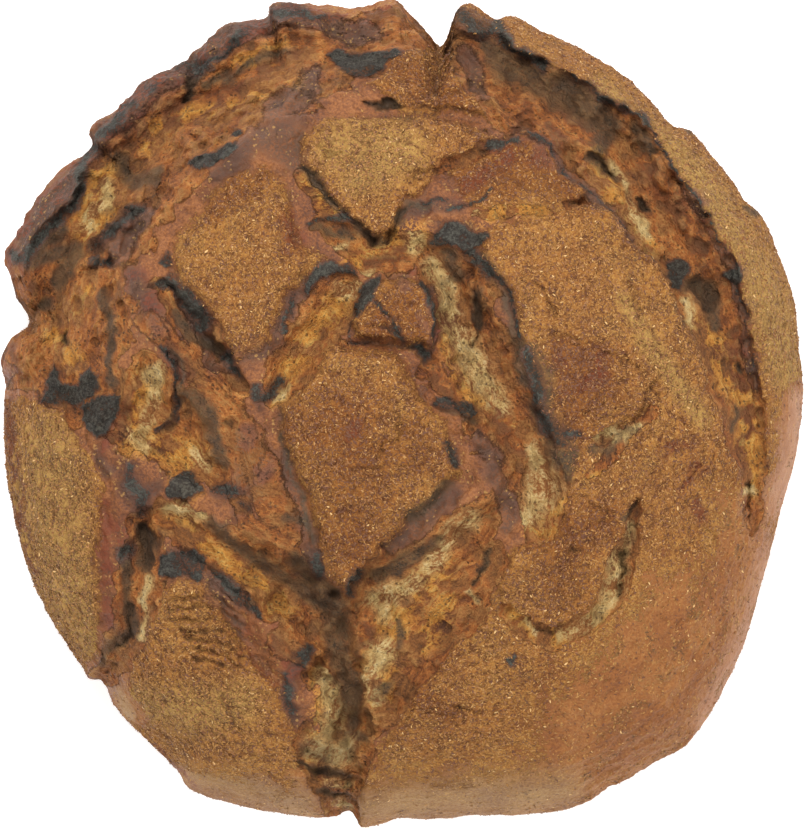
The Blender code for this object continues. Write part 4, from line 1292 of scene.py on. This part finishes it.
def crust_finish(colours):
    """The whole loaf's material: each kind of crust and crumb laid over the others by its share."""
    finish = Finish("crust")
    bran, torn = finish.painted("bran"), finish.painted("torn")
    burnt, hole, skin = finish.painted("burnt"), finish.painted("hole"), finish.painted("skin")
    hollow, patch = finish.painted("hollow"), finish.painted("patch")
    grain_noise = finish.noise(0.8, 3.0, 0.7)
    grain = grain_noise.step(0.37, 0.64)
    strands = finish.strands(1.0)
    torn_grain = (grain_noise * 0.5 + strands * 0.5).step(0.39, 0.62)
    ragged = grain_noise * 1.3 + patch * 0.3 - 0.8
    bran_share = (bran + ragged * 1.5).step(0.35, 0.60)
    torn_share = (torn + ragged * 0.8).step(0.35, 0.65)
    burnt_share = (burnt + ragged * 1.2 + patch * 0.4 - 0.2).step(0.36, 0.82)
    wavering = finish.wavering(0.6, 0.25)
    grains = finish.cells(0.62, wavering), finish.cells(0.36, wavering)
    specks = grains[0][1].step(0.90, 0.93)
    hole_gap, hole_chance = finish.cells(1.3, wavering)
    pores = hole_chance.step(0.62, 0.66) * hole_gap.step(0.42, 0.22)
    crust = bare_colour(finish, colours, patch, grain, specks)
    colour = finish.mix(skin, crust, skin_colour(finish, colours, patch, grain, specks))
    colour = finish.mix(bran_share, colour, bran_colour(finish, colours, grains, patch))
    colour = finish.mix(torn_share, colour, torn_colour(finish, colours, patch, torn_grain, pores))
    # Painted shade, weaker on the crumb: first in the hollows of the relief
    less_shade_on_crumb = 1.0 - finish.painted("crumb") * 0.5
    colour = finish.mix(hollow.step(0.05, 1.1) * less_shade_on_crumb * 0.3, colour, colours.painted_shade)
    # Painted highlight on the crests of the torn sponge
    colour = finish.mix(hollow.step(-0.1, -0.9) * torn_share * 0.2, colour, colours.ridge)
    # Painted shade along the shade strokes (the share named deep)
    deep = finish.painted("deep") * (0.7 + grain * 0.3 + patch * 0.4)
    colour = finish.mix(deep * less_shade_on_crumb * 0.7, colour, colours.painted_shade)
    # Painted shade at the bottom of cracks, pits and ripple valleys
    colour = finish.mix(hole * 0.45, colour, colours.pit)
    scorched = (burnt + ragged * 0.8).step(0.0, 0.5)
    colour = finish.mix(scorched * 0.6, colour, colours.scorched)
    char_tone = grain * 0.6 + patch * 0.4
    char = finish.shades(char_tone, colours.burnt_dark, colours.burnt, colours.burnt_light)
    char = finish.mix((burnt + grain * 0.3).step(1.0, 0.6) * 0.55, char, colours.purple)
    colour = finish.mix(burnt_share * 0.92, colour, char)
    colour = finish.mix(finish.painted("base") * 0.6, colour, colours.base)
    grain_height = (1.0 - grains[0][0]) * 0.00028 + (1.0 - grains[1][0]) * 0.00014
    height = grain_noise * (0.0005 + torn_share * 0.0009 + burnt_share * 0.0003) + bran_share * grain_height
    height = height + (strands * 0.0012 - pores * 0.0004) * torn_share
    finish.bumped(height)
    roughness = 0.45 + bran_share * 0.4 + torn_share * 0.25 + skin * 0.15 + burnt_share * 0.1
    finish.fill(finish.shader.inputs["Specular IOR Level"], 0.25)
    return finish.finished(colour, roughness.clipped(0.3, 0.9))


def add_to_scene(thing):
    bpy.context.scene.collection.objects.link(thing)
    return thing


def make_loaf(sizes, colours):
    """One closed mesh for the whole loaf, with its make-up painted on its points."""
    ball = bmesh.new()
    bmesh.ops.create_icosphere(ball, subdivisions=sizes.subdivisions, radius=1.0)
    mesh = bpy.data.meshes.new("loaf_crust")
    ball.to_mesh(mesh)
    ball.free()
    directions = read_points(mesh)
    directions = directions / np.linalg.norm(directions, axis=1, keepdims=True)
    faces = read_triangles(mesh)
    points, shares = crust_surface(directions, sizes)
    points = baked_relief(points, shares, outward_directions(points, faces))
    # How far each point lies below its surroundings; the finish lays painted shade by it
    shares["hollow"] = hollowness(points, faces, outward_directions(points, faces), HOLLOW_ROUNDS)
    middle = (points.max(axis=0) + points.min(axis=0)) / 2.0
    points = points - np.array([middle[0], middle[1], 0.0])
    points[:, 2] = np.maximum(points[:, 2], 0.0)
    mesh.vertices.foreach_set("co", (points * MILLIMETRE).ravel())
    for name, share in shares.items():
        layer = mesh.attributes.new(name, "FLOAT", "POINT")
        layer.data.foreach_set("value", share.astype(np.float32))
    mesh.update()
    mesh.shade_smooth()
    loaf = add_to_scene(bpy.data.objects.new("loaf_crust", mesh))
    mesh.materials.append(crust_finish(colours))
    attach(loaf, "root")
    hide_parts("loaf")
    return middle


def read_points(mesh):
    places = np.empty(len(mesh.vertices) * 3)
    mesh.vertices.foreach_get("co", places)
    return places.reshape(-1, 3)


def read_triangles(mesh):
    corners = np.empty(len(mesh.polygons) * 3, np.int32)
    mesh.polygons.foreach_get("vertices", corners)
    return corners.reshape(-1, 3)


def read_share(mesh, name):
    share = np.empty(len(mesh.vertices), np.float32)
    mesh.attributes[name].data.foreach_get("value", share)
    return share


def scatter_flakes(loaf, name, count, length, colour, seed, zones):
    """Many thin bent flakes lying on the bran, joined in one mesh. Lengths in millimetres.

    Zones say where a kind of flake is commoner, above 0, or rarer, below 0.
    """
    mesh = loaf.data
    points = read_points(mesh)
    triangles = read_triangles(mesh)
    corners = points[triangles]
    across = np.cross(corners[:, 1] - corners[:, 0], corners[:, 2] - corners[:, 0])
    size = np.linalg.norm(across, axis=1)
    normals = across / size[:, None]
    liked = read_share(mesh, "sprinkled").astype(float) ** 1.5
    for zone, gain in zones.items():
        liked *= 1.0 + gain * read_share(mesh, zone)
    chance = size * liked[triangles].mean(axis=1)
    draw = np.random.default_rng(seed)
    chosen = draw.choice(len(triangles), count, p=chance / chance.sum())
    shares = draw.dirichlet((1.0, 1.0, 1.0), count)
    centre = (corners[chosen] * shares[:, :, None]).sum(axis=1)
    normal = normals[chosen] + draw.normal(0.0, 0.26, (count, 3))
    normal = normal / np.linalg.norm(normal, axis=1, keepdims=True)
    along = np.cross(normal, draw.normal(size=(count, 3)))
    along = along / np.linalg.norm(along, axis=1, keepdims=True)
    sideways = np.cross(normal, along)
    half = length * MILLIMETRE * draw.uniform(0.55, 1.0, count)[:, None] ** 2 / 2.0
    width = half * draw.uniform(0.25, 0.55, count)[:, None]
    lift = MILLIMETRE * draw.uniform(0.08, 0.24, count)[:, None]
    bend = half * draw.uniform(-0.3, 0.3, count)[:, None]
    rows = []
    for place, spread_share in ((-1.0, 0.5), (0.0, 1.0), (1.0, 0.4)):
        spine = centre + along * half * place + normal * (lift + bend * (place * place - 0.5))
        rows.append(spine - sideways * width * spread_share)
        rows.append(spine + sideways * width * spread_share)
    vertices = np.stack(rows, axis=1).reshape(-1, 3)
    first = np.arange(count)[:, None] * 6
    quads = np.concatenate([first + (0, 1, 3, 2), first + (2, 3, 5, 4)])
    flakes = bpy.data.meshes.new(name)
    flakes.from_pydata(vertices, [], quads.tolist())
    finish = Finish(name)
    finish.fill(finish.shader.inputs["Base Color"], colour)
    finish.fill(finish.shader.inputs["Roughness"], 0.6)
    flakes.materials.append(finish.material)
    piece = add_to_scene(bpy.data.objects.new(name, flakes))
    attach(piece, "root")


class LoafSizes(bpy.types.PropertyGroup):
    """Sizes of the crust's relief, and how much loose bran lies on it."""

    subdivisions: bpy.props.IntProperty(
        name="Subdivisions", description="How finely the starting ball is divided",
        default=8, min=5, max=9,
    )
    raggedness: bpy.props.FloatProperty(
        name="Raggedness", description="How far torn edges wander, in millimetres",
        default=1.3, min=0.0,
    )
    overhang: bpy.props.FloatProperty(
        name="Overhang", description="How far a plate's lip reaches over its tear, in millimetres",
        default=1.0, min=0.0,
    )
    curl: bpy.props.FloatProperty(
        name="Curl", description="How high a plate's lip curls up, in millimetres",
        default=0.7, min=0.0,
    )
    golden_flakes: bpy.props.IntProperty(
        name="Golden flakes", description="Number of golden bran flakes",
        default=36000, min=0, max=MOST_FLAKES,
    )
    brown_flakes: bpy.props.IntProperty(
        name="Brown flakes", description="Number of brown bran flakes",
        default=36000, min=0, max=MOST_FLAKES,
    )
    dark_flakes: bpy.props.IntProperty(
        name="Dark flakes", description="Number of toasted bran flakes",
        default=30000, min=0, max=MOST_FLAKES,
    )
    pale_flakes: bpy.props.IntProperty(
        name="Pale flakes", description="Number of straw-coloured bran flakes",
        default=1800, min=0, max=MOST_FLAKES,
    )


def colour_property(name, description, *shade):
    return bpy.props.FloatVectorProperty(
        name=name, description=description, subtype="COLOR", size=3,
        min=0.0, max=1.0, default=linear(*shade),
    )


class CrustColours(bpy.types.PropertyGroup):
    """Colours of crust, bran and crumb."""

    bran: colour_property("Bran", "Most of the bran grains", 160, 105, 52)
    bran_dark: colour_property("Dark bran", "The darkest bran grains", 115, 70, 44)
    bran_gold: colour_property("Golden bran", "The golden bran grains", 181, 128, 64)
    bran_light: colour_property("Light bran", "The palest bran grains", 201, 154, 86)
    # Painted shade between the bran grains and in the creases of the clumps
    bran_shade: colour_property("Gaps in the bran", "Crust seen between grains", 92, 54, 32)
    toasted: colour_property("Toasting", "Tint of bran on the hottest plates", 205, 182, 172)
    straw: colour_property("Straw bran", "Bran on the coolest plates", 186, 152, 86)
    torn: colour_property("Torn crust", "Baked sponge in the tears", 174, 104, 50)
    torn_dark: colour_property("Dark torn crust", "Hollows of the sponge", 96, 54, 36)
    torn_light: colour_property("Light torn crust", "Ridges of the sponge", 220, 156, 86)
    olive: colour_property("Olive sponge", "Shaded, olive-brown sponge", 112, 84, 52)
    gold: colour_property("Golden sponge", "Bright ochre sponge", 212, 148, 64)
    gold_dark: colour_property("Dark golden sponge", "Hollows of the golden sponge", 160, 98, 44)
    gold_light: colour_property("Light golden sponge", "Ridges of the golden sponge", 234, 190, 106)
    red: colour_property("Red crust", "Deeply baked red-brown crust", 118, 58, 38)
    crumb: colour_property("Crumb", "Pale crumb at the bottom of tears", 208, 174, 112)
    crumb_dark: colour_property("Dark crumb", "Pores of the crumb", 148, 114, 68)
    crumb_light: colour_property("Light crumb", "Ridges of the crumb", 238, 212, 156)
    bare: colour_property("Bare crust", "Glossy crust without bran", 134, 82, 48)
    bare_dark: colour_property("Dark bare crust", "The darkest bare crust", 86, 54, 42)
    bare_light: colour_property("Light bare crust", "The lightest bare crust", 174, 114, 66)
    dusky: colour_property("Dusky crust", "Dark glaze on the lips and bare crust", 78, 58, 48)
    purple: colour_property("Purple crust", "Purple-grey glaze in the tears", 132, 88, 70)
    skin: colour_property("Smooth crust", "Smooth lower crust", 153, 96, 49)
    skin_dark: colour_property("Dark smooth crust", "Darkest smooth crust", 128, 76, 41)
    skin_light: colour_property("Light smooth crust", "Lightest smooth crust", 174, 121, 68)
    pink: colour_property("Pink crust", "Thinly floured crust at the right", 186, 136, 102)
    pale_rim: colour_property("Pale rim", "Greyish crust at the bottom", 156, 118, 70)
    pale_dark: colour_property("Dark pale rim", "Mottles of the pale rim", 130, 92, 54)
    pale_light: colour_property("Light pale rim", "The palest mottles of the rim", 180, 144, 94)
    scorched: colour_property("Scorched crust", "Dark brown round the burns", 86, 56, 44)
    burnt: colour_property("Burnt crust", "Burnt flakes and lips", 52, 52, 47)
    burnt_dark: colour_property("Dark burnt crust", "The blackest burns", 32, 33, 30)
    burnt_light: colour_property("Ash", "Grey bloom on the burns", 90, 91, 82)
    # Painted shade: the colour laid into hollows and shaded places
    painted_shade: colour_property("Soot", "Shaded hollows", 80, 69, 53)
    # Painted shade at the bottom of cracks, pits, pores and ripple valleys
    pit: colour_property("Pits", "The bottom of cracks and pits", 48, 38, 29)
    # Painted highlight on the crests of the torn sponge
    ridge: colour_property("Ridges", "Worn tops of ridges", 206, 156, 92)
    base: colour_property("Base", "The underside", 140, 94, 60)
    flake_pale: colour_property("Pale flakes", "Straw-coloured bran flakes", 216, 172, 110)
    flake_gold: colour_property("Golden flakes", "Golden bran flakes", 175, 124, 62)
    flake_brown: colour_property("Brown flakes", "Brown bran flakes", 147, 97, 50)
    flake_dark: colour_property("Dark flakes", "Toasted bran flakes", 108, 64, 38)
    floor: colour_property("Floor", "The pale floor", 250, 250, 250)


class BREAD_OT_loaf(bpy.types.Operator):
    """Bake the loaf: one crust with its plates, tears, burns and crumb"""

    bl_idname = "bread.loaf"
    bl_label = "Loaf"

    def execute(self, context):
        middle = make_loaf(context.scene.loaf_sizes, context.scene.crust_colours)
        context.scene["loaf_middle"] = [float(middle[0]), float(middle[1])]
        return {"FINISHED"}


class BREAD_OT_bran(bpy.types.Operator):
    """Scatter the loose bran: golden, brown, dark and pale flakes"""

    bl_idname = "bread.bran"
    bl_label = "Bran"

    def execute(self, context):
        loaf = bpy.data.objects["loaf_crust"]
        colours = context.scene.crust_colours
        sizes = context.scene.loaf_sizes
        pale_zones = {"toasted": -0.6, "red": -0.9, "deep": -0.95, "purple": -0.7, "pink": -0.8}
        brown_zones = {"deep": -0.8, "pink": -0.9, "pale_rim": -0.6}
        dark_zones = {
            "toasted": 1.5, "red": 1.5, "straw": -0.6, "deep": -0.5, "pink": -0.95, "pale_rim": -0.7,
        }
        for name, count, length, colour, seed, zones in (
            ("bran_golden", sizes.golden_flakes, 1.1, colours.flake_gold, 2, pale_zones),
            ("bran_brown", sizes.brown_flakes, 1.1, colours.flake_brown, 3, brown_zones),
            ("bran_dark", sizes.dark_flakes, 1.1, colours.flake_dark, 5, dark_zones),
            ("bran_pale", sizes.pale_flakes, 1.2, colours.flake_pale, 7, pale_zones),
        ):
            scatter_flakes(loaf, name, count, length, colour, seed, zones)
        return {"FINISHED"}


def aim(thing, target):
    """Turns a lamp or camera to look at a place."""
    direction = Vector(target) - thing.location
    thing.rotation_euler = direction.to_track_quat("-Z", "Y").to_euler()


def make_lamp(name, place, size, power):
    lamp = bpy.data.lights.new(name, "AREA")
    lamp.shape = "DISK"
    lamp.size = size
    lamp.energy = power
    thing = add_to_scene(bpy.data.objects.new(name, lamp))
    thing.location = place
    aim(thing, LAMP_TARGET)


def make_floor(colours):
    """A plain floor that stays pale under the loaf, as on a light table."""
    finish = Finish("floor")
    finish.fill(finish.shader.inputs["Base Color"], colours.floor)
    finish.fill(finish.shader.inputs["Roughness"], 0.9)
    finish.fill(finish.shader.inputs["Emission Color"], colours.floor)
    finish.fill(finish.shader.inputs["Emission Strength"], FLOOR_GLOW)
    floor_mesh = bmesh.new()
    bmesh.ops.create_grid(floor_mesh, x_segments=8, y_segments=8, size=FLOOR_REACH)
    mesh = bpy.data.meshes.new("floor")
    floor_mesh.to_mesh(mesh)
    floor_mesh.free()
    mesh.materials.append(finish.material)
    floor = add_to_scene(bpy.data.objects.new("floor", mesh))
    floor.location = (0.0, 0.0, -FLOOR_DROP)


def make_camera(middle):
    """Straight above the loaf, framing the photograph's own rectangle."""
    camera = bpy.data.cameras.new("camera")
    camera.sensor_width = SENSOR
    seen = PICTURE[1] * MM_A_PIXEL * MILLIMETRE
    camera.lens = SENSOR * (CAMERA_DISTANCE - BELLY_HEIGHT * MILLIMETRE) / seen
    camera.clip_end = 50.0
    thing = add_to_scene(bpy.data.objects.new("camera", camera))
    (x, y), = plan([(PICTURE[0] / 2.0, PICTURE[1] / 2.0)])
    thing.location = ((x - middle[0]) * MILLIMETRE, (y - middle[1]) * MILLIMETRE, CAMERA_DISTANCE)
    bpy.context.scene.camera = thing


class BREAD_OT_stage(bpy.types.Operator):
    """Lay the floor, hang the lamps and set the camera above the loaf"""

    bl_idname = "bread.stage"
    bl_label = "Stage"

    def execute(self, context):
        make_floor(context.scene.crust_colours)
        make_lamp("key lamp", KEY_PLACE, KEY_SIZE, KEY_WATTS)
        make_lamp("fill lamp", FILL_PLACE, FILL_SIZE, FILL_WATTS)
        world = bpy.data.worlds.new("studio")
        world.use_nodes = True
        background = world.node_tree.nodes["Background"]
        background.inputs["Color"].default_value = (1.0, 1.0, 1.0, 1.0)
        background.inputs["Strength"].default_value = SKY
        context.scene.world = world
        context.scene.view_settings.view_transform = "Standard"
        make_camera(context.scene["loaf_middle"])
        return {"FINISHED"}


class BREAD_PT_panel(bpy.types.Panel):
    """Lists the loaf's pieces"""

    bl_label = "Country loaf"
    bl_idname = "BREAD_PT_panel"
    bl_space_type = "VIEW_3D"
    bl_region_type = "UI"
    bl_category = "Loaf"

    def draw(self, context):
        for operator in OPERATORS:
            self.layout.operator(operator.bl_idname)
        for name in LoafSizes.__annotations__:
            self.layout.prop(context.scene.loaf_sizes, name)
        for name in CrustColours.__annotations__:
            self.layout.prop(context.scene.crust_colours, name)


OPERATORS = (BREAD_OT_loaf, BREAD_OT_bran, BREAD_OT_stage)
CLASSES = (LoafSizes, CrustColours, *OPERATORS, BREAD_PT_panel)


def register():
    for made in CLASSES:
        bpy.utils.register_class(made)
    bpy.types.Scene.loaf_sizes = bpy.props.PointerProperty(type=LoafSizes)
    bpy.types.Scene.crust_colours = bpy.props.PointerProperty(type=CrustColours)


def unregister():
    del bpy.types.Scene.crust_colours
    del bpy.types.Scene.loaf_sizes
    for made in reversed(CLASSES):
        bpy.utils.unregister_class(made)


def main():
    register()
    bpy.ops.bread.loaf()
    bpy.ops.bread.bran()
    bpy.ops.bread.stage()


if __name__ == "__main__":
    main()
